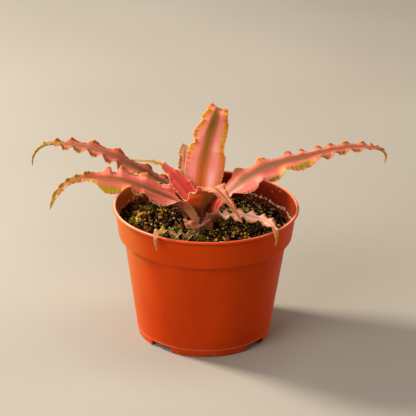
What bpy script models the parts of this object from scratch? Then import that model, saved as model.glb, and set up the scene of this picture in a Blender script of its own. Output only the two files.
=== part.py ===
"""Cryptanthus (earth star) growing in a round plastic nursery pot.

The pot stands on z = 0 with its axis on the z axis and the viewer on the -Y side. All sizes below are
millimetres and are scaled to metres when a mesh is made. The pot is a turned shell with four notches in
its foot and drain holes in its raised base plate. Soil fills it, a short stem stands in a plain hole in
the soil, and each leaf is one thin waved blade that starts beside the stem.
"""

import math

import bpy
import numpy as np

MM = 0.001
GAP = 0.3                      # clearance kept between pieces that touch

# Pot
POT_HEIGHT = 77.2
LIP_RADIUS = 52.5
LIP_TOP_INNER = 50.6
COLLAR_TOP_RADIUS = 50.75
COLLAR_BOTTOM_RADIUS = 48.9
COLLAR_BOTTOM = 59.1
BODY_TOP_RADIUS = 45.9
BODY_BOTTOM_RADIUS = 37.7
WALL = 1.1
FOOT_HEIGHT = 4.0
FOOT_WALL = 1.5
PLATE = 1.4
POT_SIDES = 48
NOTCH_DEGREES = 21.0
NOTCH_HEIGHT = 3.4
FIRST_NOTCH = -39.0            # from the viewer's side, turning to the right
DRAIN_RADIUS = 3.5
DRAIN_RING = 21.0

# Soil
SOIL_AT_CROWN = 65.6
SOIL_TILT_X = -0.055           # lower on the right
SOIL_TILT_Y = -0.075           # lower at the back
SOIL_LEAST = 62.0              # it stays above the pot's inner step
SOIL_RINGS = (10.0, 15.0, 21.0, 27.0, 33.0, 39.0, 44.0)

# Stem
STEM_X = -1.6
STEM_Y = -1.6
STEM_PROFILE = ((4.4, 48.0), (4.6, 60.0), (4.6, 67.0), (4.1, 70.0), (3.3, 73.5), (2.5, 76.0), (1.2, 77.6))
STEM_SIDES = 20

# Leaves
BLADE = 0.8                    # thickness
CREST = 1.9                    # above 1 makes the margin's crests narrower than its troughs
COLUMNS = 4                    # strips across a blade
CUP_SHARE = 0.75               # how much of the cup angle shows as lift of the margin

COLOURS = {
    "pot": ((0.58, 0.11, 0.03), 0.42),
    "soil": ((0.035, 0.022, 0.012), 0.95),
    "stem": ((0.30, 0.14, 0.08), 0.70),
    "leaf_pink": ((0.75, 0.17, 0.16), 0.45),
    "leaf_rust": ((0.42, 0.12, 0.05), 0.55),
}

# Each leaf: the azimuth it grows in (degrees from +X), the number of stations along it, the midrib's
# points (x, y, z), then curves over its length from 0 at the base to 1 at the tip:
#   half    half width of the blade
#   roll    turn about the midrib, positive lifts the right margin
#   cup     lift of both margins, degrees
#   wave    height of the margin's waves
#   skew    share by which the right half is wider and the left one narrower
# lobe is the share by which the left and the right half narrow at the margin's crests.
# left and right are the places of the margin's turns along the midrib, in millimetres: a crest, a
# trough, a crest and so on. Left and right are as seen from the stem, looking out along the leaf.
LEAVES = {
    "leaf_left_upper": dict(
        azimuth=165, stations=54, colour="leaf_pink",
        midrib=[(-6.6, 0.2, 70.0), (-8.9, 1.2, 74.5), (-12.9, 2.8, 79.2), (-19.2, 6.0, 83.7),
                (-27.4, 10.0, 87.5), (-40.5, 13.5, 93.4), (-55.2, 17.5, 99.3), (-69.8, 21.5, 101.9),
                (-85.3, 25.0, 102.0), (-92.5, 26.0, 100.5), (-97.2, 27.0, 96.5), (-99.3, 27.0, 92.0),
                (-99.6, 27.0, 87.5)],
        half=[(0, 2.2), (0.12, 4.4), (0.25, 6.2), (0.38, 6.7), (0.5, 6.1), (0.6, 5.6), (0.73, 4.5),
              (0.79, 3.2), (0.83, 1.8), (0.92, 1.2), (1, 0.35)],
        roll=[(0, 0), (0.25, 6), (0.45, 14), (0.7, 18), (0.85, 10), (1, 0)],
        cup=[(0, 40), (0.2, 15), (0.4, 2), (0.76, 4), (0.84, 50), (1, 75)],
        wave=[(0, 0), (0.12, 0.6), (0.35, 1.5), (0.6, 1.5), (0.76, 1.4), (0.83, 0.5), (0.9, 0.2), (1, 0)],
        lobe=(0.24, -0.1),
        left=[3, 9, 15, 21, 28, 36.5, 42.5, 48.5, 54.5, 59.3, 64, 68.5, 73.3, 77.8, 82.4, 86.5, 90, 92.5,
              95, 97],
        right=[14, 21, 28, 33, 38, 48, 57.5, 64.5, 72, 78.5, 85, 89, 93, 96.5, 100, 103]),
    "leaf_left_lower": dict(
        azimuth=197, stations=50, colour="leaf_pink",
        midrib=[(-6.3, -5.7, 68.2), (-8.1, -7.4, 72.2), (-11.2, -9.3, 77.8), (-15.5, -11.8, 83.0),
                (-21.7, -14.0, 87.2), (-28.8, -16.0, 91.0), (-42.8, -18.0, 97.2), (-56.6, -20.0, 99.9),
                (-68.4, -22.0, 100.6), (-74.5, -22.0, 98.6), (-79.5, -23.0, 94.5), (-83.0, -24.0, 89.9),
                (-85.5, -24.0, 82.5)],
        half=[(0, 3.2), (0.12, 5.2), (0.3, 9.0), (0.43, 8.6), (0.52, 9.6), (0.6, 9.0), (0.66, 6.0),
              (0.71, 3.4), (0.78, 2.1), (0.9, 1.6), (1, 0.35)],
        roll=[(0, -15), (0.1, -18), (0.25, 12), (0.35, 20), (0.62, 18), (0.72, 28), (0.82, 46), (1, 55)],
        cup=[(0, 45), (0.15, 40), (0.28, 5), (0.4, -8), (0.6, -12), (0.72, 8), (1, 20)],
        wave=[(0, 0), (0.12, 0.7), (0.3, 1.6), (0.62, 1.9), (0.7, 0.9), (0.85, 0.45), (1, 0)],
        skew=[(0, -0.15), (0.12, -0.17), (0.3, 0.12), (0.43, 0.27), (0.54, 0.08), (0.7, 0), (1, 0)],
        lobe=(0.12, -0.08),
        left=[21, 31.5, 40.5, 44.5, 49, 60, 72, 80, 87, 91],
        right=[24, 30, 37, 45, 53.8, 57, 60.5, 66.5, 74.2, 76.7, 79.1, 81.4, 83.6, 86, 88, 91]),
    "leaf_right": dict(
        azimuth=4, stations=54, colour="leaf_pink",
        midrib=[(4.0, -1.8, 69.0), (6.0, -1.9, 74.2), (9.5, -1.5, 80.5), (15.6, 0.0, 87.0),
                (20.6, 1.0, 91.2), (30.6, 3.0, 97.4), (44.0, 4.0, 102.5), (60.7, 4.0, 107.2),
                (72.0, 4.0, 110.2), (82.0, 4.0, 111.8), (90.4, 3.0, 112.2), (95.5, 3.0, 111.2),
                (98.3, 3.0, 109.5), (99.5, 3.0, 106.9), (99.5, 3.0, 104.6), (99.0, 3.0, 102.6)],
        half=[(0, 2.8), (0.12, 6.4), (0.25, 9.5), (0.4, 9.3), (0.5, 7.8), (0.62, 6.0), (0.75, 4.2),
              (0.84, 3.3), (0.89, 1.9), (0.94, 1.3), (1, 0.35)],
        roll=[(0, 0), (0.15, -15), (0.3, -24), (0.4, -21), (0.55, -18), (0.8, -18), (0.9, -8), (1, 0)],
        cup=[(0, 28), (0.15, 20), (0.27, -5), (0.4, -18), (0.55, -18), (0.68, -2), (0.85, 5), (0.92, 55),
             (1, 75)],
        wave=[(0, 0), (0.12, 0.9), (0.25, 1.9), (0.5, 1.8), (0.65, 1.3), (0.84, 1.1), (0.9, 0.5), (1, 0)],
        skew=[(0, -0.3), (0.1, 0), (1, 0)],
        lobe=(-0.08, 0.1),
        left=[14, 20, 28.8, 36, 41.5, 50, 57, 60.5, 64, 69, 73.9, 77, 80.4, 84.5, 89, 94, 98.5, 101,
              103.3, 105],
        right=[20, 28, 38, 46, 54, 65, 75, 79, 83, 87, 91.5, 96, 100.6, 104]),
    "leaf_upright": dict(
        azimuth=86, stations=46, colour="leaf_pink",
        midrib=[(-1.8, 2.3, 73.6), (-2.3, 5.0, 76.6), (-2.6, 7.2, 80.6), (-2.4, 9.0, 87.2),
                (-0.8, 12.0, 100.4), (1.8, 16.0, 112.1), (3.8, 19.5, 119.3), (5.3, 22.9, 123.0),
                (6.2, 27.0, 124.2), (6.4, 32.0, 122.4), (6.2, 36.5, 118.5), (6.0, 40.0, 112.5),
                (5.8, 42.0, 107.0)],
        half=[(0, 2.2), (0.06, 5.0), (0.15, 10.0), (0.25, 11.3), (0.42, 10.9), (0.52, 9.6),
              (0.61, 7.6), (0.71, 6.0), (0.85, 3.4), (1, 0.5)],
        roll=[(0, 0), (1, 0)],
        cup=[(0, 35), (0.08, 12), (0.15, 2), (0.4, 4), (1, 6)],
        wave=[(0, 0), (0.15, 0.8), (0.45, 1.6), (0.65, 1.5), (0.9, 0.8), (1, 0)],
        skew=[(0, 0), (0.2, 0.06), (0.45, 0.04), (0.7, 0), (1, 0)],
        lobe=(0.2, 0.2),
        left=[13.5, 21.5, 24, 33.5, 36.4, 46.4, 49, 54, 56.4, 61, 63, 67],
        right=[12, 17, 20, 30.5, 34, 52, 56.2, 60.5, 63, 67]),
    "leaf_young_left": dict(
        azimuth=155, stations=34, colour="leaf_pink",
        midrib=[(-4.75, 0.05, 75.6), (-7.6, 0.6, 80.4), (-12.3, 2.4, 86.3), (-16.2, 4.6, 90.8),
                (-20.0, 7.0, 94.0), (-24.5, 9.5, 96.4), (-29.1, 12.0, 97.2), (-33.7, 14.0, 97.1),
                (-38.8, 15.0, 96.9), (-43.9, 16.0, 97.0)],
        half=[(0, 2.2), (0.15, 5.0), (0.3, 5.2), (0.45, 3.6), (0.6, 1.9), (0.8, 1.0), (1, 0.4)],
        skew=[(0, -0.2), (0.5, -0.2), (1, 0)],
        roll=[(0, 20), (0.3, 35), (0.6, 20), (1, 0)],
        cup=[(0, 40), (0.3, 18), (0.6, 10), (1, 8)],
        wave=[(0, 0), (0.2, 0.5), (0.5, 0.9), (0.8, 0.3), (1, 0)],
        left=[5, 9, 13, 18, 23, 27, 31],
        right=[6, 10, 14.5, 19, 23, 27, 31]),
    "leaf_behind": dict(
        azimuth=118, stations=30, colour="leaf_pink",
        midrib=[(-3.4, 3.3, 72.2), (-5.4, 8.6, 76.8), (-8.6, 13.4, 84.4), (-10.9, 16.5, 91.0),
                (-12.0, 19.5, 96.4), (-12.3, 22.8, 100.0), (-12.2, 27.0, 101.6), (-12.4, 30.5, 100.0)],
        half=[(0, 1.5), (0.2, 3.4), (0.5, 5.2), (0.7, 4.4), (0.9, 2.0), (1, 0.5)],
        roll=[(0, 0), (1, 0)],
        cup=[(0, 40), (0.3, 15), (1, 8)],
        wave=[(0, 0), (0.2, 0.5), (0.6, 1.2), (0.9, 0.6), (1, 0)],
        left=[7, 11, 15, 19, 23, 27, 31],
        right=[5, 9, 13, 17, 21, 25]),
    "leaf_front": dict(
        azimuth=292, stations=42, colour="leaf_rust",
        midrib=[(-0.9, -6.4, 72.2), (-0.7, -8.8, 78.5), (0.1, -12.0, 85.6), (1.4, -15.5, 91.4),
                (3.0, -19.0, 95.0), (5.0, -22.3, 96.0), (7.8, -25.7, 94.9), (10.7, -28.8, 93.0),
                (14.2, -32.5, 90.2), (17.0, -36.0, 87.2), (19.8, -40.0, 83.6)],
        half=[(0, 2.8), (0.1, 7.4), (0.2, 11.5), (0.3, 11.0), (0.38, 9.6), (0.5, 7.2), (0.62, 4.4),
              (0.75, 2.4), (0.88, 1.2), (1, 0.4)],
        roll=[(0, 0), (1, 0)],
        cup=[(0, 32), (0.15, 26), (0.35, 5), (1, 10)],
        wave=[(0, 0), (0.15, 0.9), (0.35, 1.6), (0.5, 1.1), (0.62, 0.45), (1, 0)],
        left=[8, 13, 18, 23, 28, 32, 36, 40, 44],
        right=[11, 15.5, 20, 23.5, 27, 31, 35, 39, 43]),
    "leaf_front_right": dict(
        azimuth=318, stations=40, colour="leaf_pink",
        midrib=[(1.2, -6.8, 67.0), (3.4, -8.8, 71.2), (7.0, -11.6, 74.6), (11.3, -14.7, 76.9),
                (16.7, -18.5, 78.9), (22.4, -23.0, 80.5), (28.1, -28.0, 81.4), (32.9, -32.5, 81.7),
                (36.4, -36.5, 80.8), (38.5, -39.7, 78.3), (39.0, -41.3, 74.9), (38.2, -41.7, 71.3)],
        half=[(0, 2.4), (0.15, 5.0), (0.35, 5.2), (0.5, 4.8), (0.7, 4.0), (0.78, 3.0), (0.84, 1.7),
              (0.91, 1.0), (1, 0.35)],
        roll=[(0, 22), (0.2, 18), (0.35, -4), (1, 0)],
        cup=[(0, 45), (0.2, 35), (0.4, 0), (1, 5)],
        wave=[(0, 0), (0.1, 0.9), (0.25, 1.7), (0.6, 1.3), (0.85, 0.7), (1, 0)],
        left=[12, 17, 22, 27, 31, 35.5, 40, 43, 46, 50, 54],
        right=[7, 11, 15.5, 19.5, 24.5, 28.5, 32.5, 38, 44, 48, 52]),
    "leaf_front_left": dict(
        azimuth=238, stations=30, colour="leaf_pink",
        midrib=[(-3.2, -6.9, 66.7), (-3.6, -11.0, 67.2), (-4.2, -17.0, 68.3), (-5.2, -23.0, 69.6),
                (-7.8, -28.5, 70.8), (-11.2, -32.5, 72.2), (-15.5, -36.3, 74.3), (-19.8, -40.2, 77.0),
                (-23.5, -44.2, 79.6), (-26.0, -47.4, 80.2), (-26.9, -49.4, 77.2), (-26.7, -50.0, 74.0),
                (-25.8, -50.2, 71.0)],
        half=[(0, 1.1), (0.2, 1.2), (0.3, 1.9), (0.44, 4.2), (0.6, 4.9), (0.74, 4.2), (0.82, 2.0),
              (0.9, 0.9), (1, 0.3)],
        roll=[(0, 0), (0.35, 8), (0.6, 9), (0.75, 3), (1, 0)],
        cup=[(0, 20), (0.3, 10), (1, 6)],
        wave=[(0, 0), (0.25, 0.2), (0.4, 1.3), (0.6, 2.4), (0.75, 1.5), (0.85, 0.4), (1, 0)],
        skew=[(0, 0), (0.3, -0.1), (0.6, -0.2), (0.8, 0), (1, 0)],
        left=[18.5, 23.5, 27.5, 32, 36.7, 41.7, 46.7, 50.5, 54],
        right=[21, 25, 28.5, 31.7, 35, 38.5, 42, 46, 49.5, 53, 56]),
    "leaf_back": dict(
        azimuth=90, stations=36, colour="leaf_pink",
        midrib=[(-1.4, 3.6, 67.4), (-1.4, 7.2, 70.4), (-1.2, 12.0, 75.2), (-1.0, 18.0, 81.0),
                (-0.6, 25.0, 86.4), (-0.2, 32.0, 89.4), (0.0, 39.0, 89.6), (0.3, 45.5, 87.4),
                (0.5, 50.0, 83.0), (0.7, 52.2, 79.0)],
        half=[(0, 2.2), (0.12, 4.6), (0.4, 7.6), (0.6, 6.8), (0.8, 4.2), (1, 0.4)],
        roll=[(0, 0), (1, 0)],
        cup=[(0, 40), (0.2, 18), (0.4, 6), (1, 6)],
        wave=[(0, 0), (0.15, 0.8), (0.5, 1.6), (0.8, 1.2), (1, 0)],
        left=[8, 14, 20, 26, 32, 38, 44, 49, 54],
        right=[11, 17, 23, 29, 35, 41, 47, 52, 57]),
    "leaf_old_stub": dict(
        azimuth=205, stations=14, colour="leaf_rust",
        midrib=[(-7.4, -1.4, 66.8), (-10.4, -2.4, 70.0), (-13.2, -4.0, 74.0), (-15.8, -5.8, 78.0),
                (-17.6, -7.4, 81.3)],
        half=[(0, 1.6), (0.4, 2.8), (0.8, 2.0), (1, 0.5)],
        roll=[(0, -20), (1, -10)],
        cup=[(0, 30), (1, 10)],
        wave=[(0, 0), (0.4, 0.4), (1, 0)],
        left=[3, 6, 9, 12, 15],
        right=[4, 7, 10, 13]),
}


def clear_scene():
    """Remove every object and mesh that the file holds."""
    for item in list(bpy.data.objects):
        bpy.data.objects.remove(item, do_unlink=True)
    for mesh in list(bpy.data.meshes):
        bpy.data.meshes.remove(mesh)


def material(name):
    """A Principled material in the named colour."""
    colour, roughness = COLOURS[name]
    made = bpy.data.materials.get(name) or bpy.data.materials.new(name)
    made.use_nodes = True
    shader = made.node_tree.nodes["Principled BSDF"]
    shader.inputs["Base Color"].default_value = (*colour, 1.0)
    shader.inputs["Roughness"].default_value = roughness
    shader.inputs["Metallic"].default_value = 0.0
    return made


def add_mesh(name, points, faces, colour):
    """Make an object from points in millimetres and its faces."""
    mesh = bpy.data.meshes.new(name)
    mesh.from_pydata((np.asarray(points, float) * MM).tolist(), [], faces)
    mesh.validate()
    mesh.update()
    item = bpy.data.objects.new(name, mesh)
    bpy.context.scene.collection.objects.link(item)
    mesh.materials.append(material(colour))
    return item


def smooth_below(item, degrees):
    """Shade smooth, but keep edges sharper than the angle."""
    item.data.shade_smooth()
    item.data.set_sharp_from_angle(angle=math.radians(degrees))


def ring_points(radius, height, sides, centre=(0.0, 0.0)):
    """A level ring of points, anticlockwise from above. The height may differ from point to point."""
    turn = np.arange(sides) * 2 * math.pi / sides
    x = centre[0] + radius * np.cos(turn)
    y = centre[1] + radius * np.sin(turn)
    return np.stack([x, y, np.broadcast_to(height, x.shape)], axis=1)


def turned_solid(name, profile, sides, colour, centre=(0.0, 0.0)):
    """Turn a profile of (radius, height) points, from its lowest middle to its highest, into a solid.

    The first and last rings are closed with a fan to a point on the axis.
    """
    points = [ring_points(radius, height, sides, centre) for radius, height in profile]
    faces = []
    for ring in range(len(profile) - 1):
        low = ring * sides
        for k in range(sides):
            after = (k + 1) % sides
            faces.append((low + k, low + after, low + sides + after, low + sides + k))
    first = len(profile) * sides
    last_ring = (len(profile) - 1) * sides
    for k in range(sides):
        after = (k + 1) % sides
        faces.append((first, after, k))
        faces.append((first + 1, last_ring + k, last_ring + after))
    middle = [[*centre, profile[0][1]], [*centre, profile[-1][1]]]
    return add_mesh(name, np.concatenate([*points, middle]), faces, colour)


def inner_body_radius(height):
    """Inner radius of the pot's plain wall below the collar."""
    share = height / COLLAR_BOTTOM
    return BODY_BOTTOM_RADIUS + (BODY_TOP_RADIUS - BODY_BOTTOM_RADIUS) * share - WALL


def inner_collar_radius(height):
    """Inner radius of the collar."""
    share = (height - COLLAR_BOTTOM) / (POT_HEIGHT - 2.9 - COLLAR_BOTTOM)
    return COLLAR_BOTTOM_RADIUS + (COLLAR_TOP_RADIUS - COLLAR_BOTTOM_RADIUS) * share - WALL


def pot_profile():
    """The shell's section: under the plate, down the foot, up outside, over the lip and down inside."""
    plate_top = FOOT_HEIGHT + PLATE
    step = COLLAR_BOTTOM
    top = POT_HEIGHT
    body_at_foot = inner_body_radius(FOOT_HEIGHT) + WALL
    return [
        (12.0, FOOT_HEIGHT),
        (BODY_BOTTOM_RADIUS - FOOT_WALL + 0.2, FOOT_HEIGHT),
        (BODY_BOTTOM_RADIUS - FOOT_WALL, 0.3),
        (BODY_BOTTOM_RADIUS - FOOT_WALL + 0.3, 0.0),
        (BODY_BOTTOM_RADIUS - 0.3, 0.0),
        (BODY_BOTTOM_RADIUS, 0.3),
        (body_at_foot, FOOT_HEIGHT),
        (BODY_TOP_RADIUS, step - 0.6),
        (BODY_TOP_RADIUS + 1.6, step - 0.2),
        (COLLAR_BOTTOM_RADIUS - 0.3, step + 0.5),
        (COLLAR_BOTTOM_RADIUS + 0.1, step + 1.6),
        (COLLAR_TOP_RADIUS, top - 2.9),
        (LIP_RADIUS - 0.6, top - 2.3),
        (LIP_RADIUS, top - 1.2),
        (LIP_RADIUS - 0.5, top - 0.3),
        (LIP_RADIUS - 1.1, top),
        (LIP_TOP_INNER, top),
        (LIP_TOP_INNER - 0.4, top - 0.5),
        (inner_collar_radius(top - 3.2), top - 3.2),
        (inner_collar_radius(step + 1.6), step + 1.6),
        (inner_body_radius(step - 1.2) + 0.3, step - 0.9),
        (inner_body_radius(step - 1.6), step - 1.6),
        (inner_body_radius(plate_top + 1.0), plate_top + 1.0),
        (inner_body_radius(plate_top) - 1.0, plate_top),
        (12.0, plate_top),
    ]


def notch_cutter(turn):
    """A wedge that cuts one notch in the foot ring, its sides leaning in towards the top."""
    half = BODY_BOTTOM_RADIUS * math.sin(math.radians(NOTCH_DEGREES / 2))
    inner, outer = BODY_BOTTOM_RADIUS - 5.0, BODY_BOTTOM_RADIUS + 4.0
    low, high = -2.0, NOTCH_HEIGHT
    corners = []
    for height, width in ((low, half + 0.6), (high, half - 0.6)):
        corners += [(-width, -inner, height), (width, -inner, height)]
        corners += [(width, -outer, height), (-width, -outer, height)]
    faces = [(0, 1, 2, 3), (7, 6, 5, 4), (0, 4, 5, 1), (1, 5, 6, 2), (2, 6, 7, 3), (3, 7, 4, 0)]
    cutter = add_mesh("cut_notch", corners, faces, "pot")
    cutter.rotation_euler = (0.0, 0.0, turn)
    return cutter


def drain_cutter(x, y):
    """A round peg that cuts one drain hole in the base plate."""
    low, high = FOOT_HEIGHT - 1.0, FOOT_HEIGHT + PLATE + 1.0
    profile = [(DRAIN_RADIUS, low), (DRAIN_RADIUS, high)]
    return turned_solid("cut_drain", profile, 20, "pot", (x, y))


def cut_away(item, cutters):
    """Cut a list of solids out of an item, then remove them."""
    group = bpy.data.collections.new("cutters")
    bpy.context.scene.collection.children.link(group)
    for cutter in cutters:
        cutter.hide_render = True
        cutter.display_type = "WIRE"
        bpy.context.scene.collection.objects.unlink(cutter)
        group.objects.link(cutter)
    cut = item.modifiers.new("cut", "BOOLEAN")
    cut.operation = "DIFFERENCE"
    cut.operand_type = "COLLECTION"
    cut.collection = group
    cut.solver = "EXACT"
    bpy.context.view_layer.update()
    result = bpy.data.meshes.new_from_object(item.evaluated_get(bpy.context.evaluated_depsgraph_get()))
    item.modifiers.clear()
    item.data = result
    for cutter in cutters:
        bpy.data.objects.remove(cutter, do_unlink=True)
    bpy.data.collections.remove(group)


def make_pot():
    """The turned shell, its four foot notches and five drain holes."""
    pot = turned_solid("pot", pot_profile(), POT_SIDES, "pot")
    cutters = [notch_cutter(math.radians(FIRST_NOTCH + 90.0 * k)) for k in range(4)]
    cutters.append(drain_cutter(0.0, 0.0))
    for k in range(4):
        turn = math.radians(FIRST_NOTCH + 90.0 * k)
        cutters.append(drain_cutter(DRAIN_RING * math.cos(turn), DRAIN_RING * math.sin(turn)))
    cut_away(pot, cutters)
    smooth_below(pot, 35)


def soil_height(x, y):
    """Height of the soil: a tilted plane with soft lumps, flat round the stem."""
    lumps = 0.9 * np.sin(x * 0.19 + 1.3) * np.cos(y * 0.17 - 0.6)
    lumps = lumps + 0.6 * np.sin(x * 0.37 - y * 0.29 + 2.0)
    near = np.clip((np.hypot(x - STEM_X, y - STEM_Y) - 8.0) / 14.0, 0.0, 1.0)
    height = SOIL_AT_CROWN + near * (SOIL_TILT_X * (x + 6.0) + SOIL_TILT_Y * (y + 4.0) + lumps)
    return np.maximum(height, SOIL_LEAST)


def make_soil():
    """The filled space: inside the pot's wall, up to the soil's surface, with a plain hole for the stem."""
    hole = STEM_PROFILE[1][0] + GAP
    floor = FOOT_HEIGHT + PLATE + GAP
    step = COLLAR_BOTTOM
    side = [
        (inner_body_radius(floor + 1.0) - GAP - 1.3, floor),
        (inner_body_radius(floor + 1.4) - GAP, floor + 1.4),
        (inner_body_radius(step - 1.8) - GAP, step - 1.8),
        (inner_body_radius(step - 0.5) - GAP, step - 0.5),
        (inner_collar_radius(step + 1.6) - GAP - 0.2, step + 2.1),
    ]
    rings = [ring_points(radius, height, POT_SIDES) for radius, height in side]
    edge = side[-1][0] + 0.2
    for radius in (edge, *reversed(SOIL_RINGS)):
        ring = ring_points(radius, 0.0, POT_SIDES)
        share = (radius - hole) / (edge - hole)
        ring[:, 0] += STEM_X * (1.0 - share)
        ring[:, 1] += STEM_Y * (1.0 - share)
        ring[:, 2] = soil_height(ring[:, 0], ring[:, 1])
        rings.append(ring)
    bottom = STEM_PROFILE[0][1] - GAP
    rings.append(ring_points(hole, SOIL_AT_CROWN, POT_SIDES, (STEM_X, STEM_Y)))
    rings.append(ring_points(hole, bottom, POT_SIDES, (STEM_X, STEM_Y)))
    faces = []
    for row in range(len(rings) - 1):
        low = row * POT_SIDES
        for k in range(POT_SIDES):
            after = (k + 1) % POT_SIDES
            a, b = low + k, low + after
            c, d = low + POT_SIDES + after, low + POT_SIDES + k
            faces.append((a, b, c))
            faces.append((a, c, d))
    under = len(rings) * POT_SIDES
    last = under - POT_SIDES
    for k in range(POT_SIDES):
        after = (k + 1) % POT_SIDES
        faces.append((under, after, k))
        faces.append((under + 1, last + k, last + after))
    middle = [[0.0, 0.0, floor], [STEM_X, STEM_Y, bottom]]
    soil = add_mesh("soil", np.concatenate([*rings, middle]), faces, "soil")
    smooth_below(soil, 50)


def make_stem():
    """The short crown that the leaves grow from, standing in the soil."""
    stem = turned_solid("stem", STEM_PROFILE, STEM_SIDES, "stem", (STEM_X, STEM_Y))
    smooth_below(stem, 60)


def through(x, pairs):
    """Smooth curve through (place, value) pairs that never overshoots them: a monotone cubic."""
    place, value = (np.array(row, float) for row in zip(*pairs))
    slope = np.diff(value) / np.diff(place)
    before, after = slope[:-1], slope[1:]
    same = before * after > 0
    total = np.where(same, before + after, 1.0)
    tangent = np.concatenate([[slope[0]], np.where(same, 2 * before * after / total, 0.0), [slope[-1]]])
    k = np.clip(np.searchsorted(place, x, side="right") - 1, 0, len(place) - 2)
    span = place[k + 1] - place[k]
    a = np.clip((x - place[k]) / span, 0.0, 1.0)
    start = (2 * a**3 - 3 * a**2 + 1) * value[k] + (a**3 - 2 * a**2 + a) * span * tangent[k]
    return start + (-2 * a**3 + 3 * a**2) * value[k + 1] + (a**3 - a**2) * span * tangent[k + 1]


def midrib_line(points, count):
    """A smooth line through the midrib's points, sampled evenly; gives the points and their places."""
    points = np.array(points, float)
    place = np.concatenate([[0.0], np.cumsum(np.linalg.norm(np.diff(points, axis=0), axis=1))])
    tangent = np.zeros_like(points)
    tangent[1:-1] = (points[2:] - points[:-2]) / (place[2:] - place[:-2])[:, None]
    tangent[0] = (points[1] - points[0]) / (place[1] - place[0]) * 1.5 - tangent[1] * 0.5
    tangent[-1] = (points[-1] - points[-2]) / (place[-1] - place[-2]) * 1.5 - tangent[-2] * 0.5
    fine = np.linspace(0.0, place[-1], 30 * len(points))
    k = np.clip(np.searchsorted(place, fine, side="right") - 1, 0, len(points) - 2)
    span = (place[k + 1] - place[k])[:, None]
    a = ((fine - place[k]) / span[:, 0])[:, None]
    line = (2 * a**3 - 3 * a**2 + 1) * points[k] + (a**3 - 2 * a**2 + a) * span * tangent[k]
    line += (-2 * a**3 + 3 * a**2) * points[k + 1] + (a**3 - a**2) * span * tangent[k + 1]
    run = np.concatenate([[0.0], np.cumsum(np.linalg.norm(np.diff(line, axis=0), axis=1))])
    even = np.linspace(0.0, run[-1], count)
    return np.stack([np.interp(even, run, line[:, axis]) for axis in range(3)], axis=1), even


def margin_wave(run, turns):
    """+1 at the first, third and further odd turns, -1 at the even ones, with crests the narrower."""
    turns = np.array(turns, float)
    before = turns[0] - 20 * (turns[1] - turns[0])
    beyond = turns[-1] + 20 * (turns[-1] - turns[-2])
    place = np.concatenate([[before], turns, [beyond]])
    number = np.concatenate([[-20], np.arange(len(turns)), [len(turns) + 19]])
    swing = np.cos(math.pi * np.interp(run, place, number))
    return 2.0 * ((1.0 + swing) / 2.0) ** CREST - 1.0


def blade_surface(leaf):
    """Middle surface of a blade, as a grid of points: stations along it by columns across it.

    A point is the midrib plus a step along the side direction and one along the blade's normal. The
    step out is the half width times the cosine of the cup angle, and the lift is the half width times
    its sine plus the margin's wave, which grows with the square of the distance from the midrib.
    """
    line, run = midrib_line(leaf["midrib"], leaf["stations"])
    ahead = np.gradient(line, run, axis=0)
    ahead /= np.linalg.norm(ahead, axis=1)[:, None]
    turn = math.radians(leaf["azimuth"])
    side = np.zeros_like(line)
    previous = np.array([math.sin(turn), -math.cos(turn), 0.0])
    for k in range(len(line)):
        level = previous - (previous @ ahead[k]) * ahead[k]
        side[k] = previous = level / np.linalg.norm(level)
    upper = np.cross(side, ahead)
    share = run / run[-1]
    roll = np.radians(through(share, leaf["roll"]))[:, None]
    side = side * np.cos(roll) + upper * np.sin(roll)
    normal = np.cross(side, ahead)
    across = np.broadcast_to(np.linspace(-1.0, 1.0, COLUMNS + 1), (len(line), COLUMNS + 1))
    swing_left = margin_wave(run, leaf["left"])[:, None]
    swing_right = margin_wave(run, leaf["right"])[:, None]
    swing = np.where(across < 0, swing_left, swing_right)
    skew = through(share, leaf.get("skew", [(0, 0), (1, 0)]))[:, None]
    width = through(share, leaf["half"])[:, None] * (1 + skew * across) * np.abs(across)
    lobe = np.where(across < 0, *leaf.get("lobe", (0.0, 0.0)))
    width = width * (1.0 - lobe * (1.0 + swing) / 2.0 * np.abs(across))
    angle = np.radians(through(share, leaf["cup"]))[:, None] * np.abs(across) * CUP_SHARE
    out = np.sign(across) * width * np.cos(angle)
    lift = width * np.sin(angle) + through(share, leaf["wave"])[:, None] * swing * across**2
    return line[:, None] + side[:, None] * out[..., None] + normal[:, None] * lift[..., None]


def make_leaf(name, leaf):
    """Thicken a blade's surface into a closed solid, both faces split into triangles alike."""
    middle = blade_surface(leaf)
    along = np.gradient(middle, axis=0)
    across = np.gradient(middle, axis=1)
    normal = np.cross(across, along)
    normal /= np.linalg.norm(normal, axis=2)[..., None]
    rows, columns = middle.shape[:2]
    points = np.concatenate([(middle + normal * BLADE / 2).reshape(-1, 3),
                             (middle - normal * BLADE / 2).reshape(-1, 3)])
    top = np.arange(rows * columns).reshape(rows, columns)
    under = top + rows * columns
    faces = []
    for i in range(rows - 1):
        for j in range(columns - 1):
            a, b, c, d = top[i, j], top[i, j + 1], top[i + 1, j + 1], top[i + 1, j]
            faces += [(a, b, c), (a, c, d)]
            a, b, c, d = under[i, j], under[i, j + 1], under[i + 1, j + 1], under[i + 1, j]
            faces += [(a, c, b), (a, d, c)]
    for i in range(rows - 1):
        faces.append((top[i, 0], top[i + 1, 0], under[i + 1, 0]))
        faces.append((top[i, 0], under[i + 1, 0], under[i, 0]))
        faces.append((top[i, -1], under[i, -1], under[i + 1, -1]))
        faces.append((top[i, -1], under[i + 1, -1], top[i + 1, -1]))
    for j in range(columns - 1):
        faces.append((top[0, j], under[0, j], under[0, j + 1]))
        faces.append((top[0, j], under[0, j + 1], top[0, j + 1]))
        faces.append((top[-1, j], top[-1, j + 1], under[-1, j + 1]))
        faces.append((top[-1, j], under[-1, j + 1], under[-1, j]))
    faces = [tuple(int(k) for k in face) for face in faces]
    blade = add_mesh(name, points, faces, leaf["colour"])
    smooth_below(blade, 60)


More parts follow.
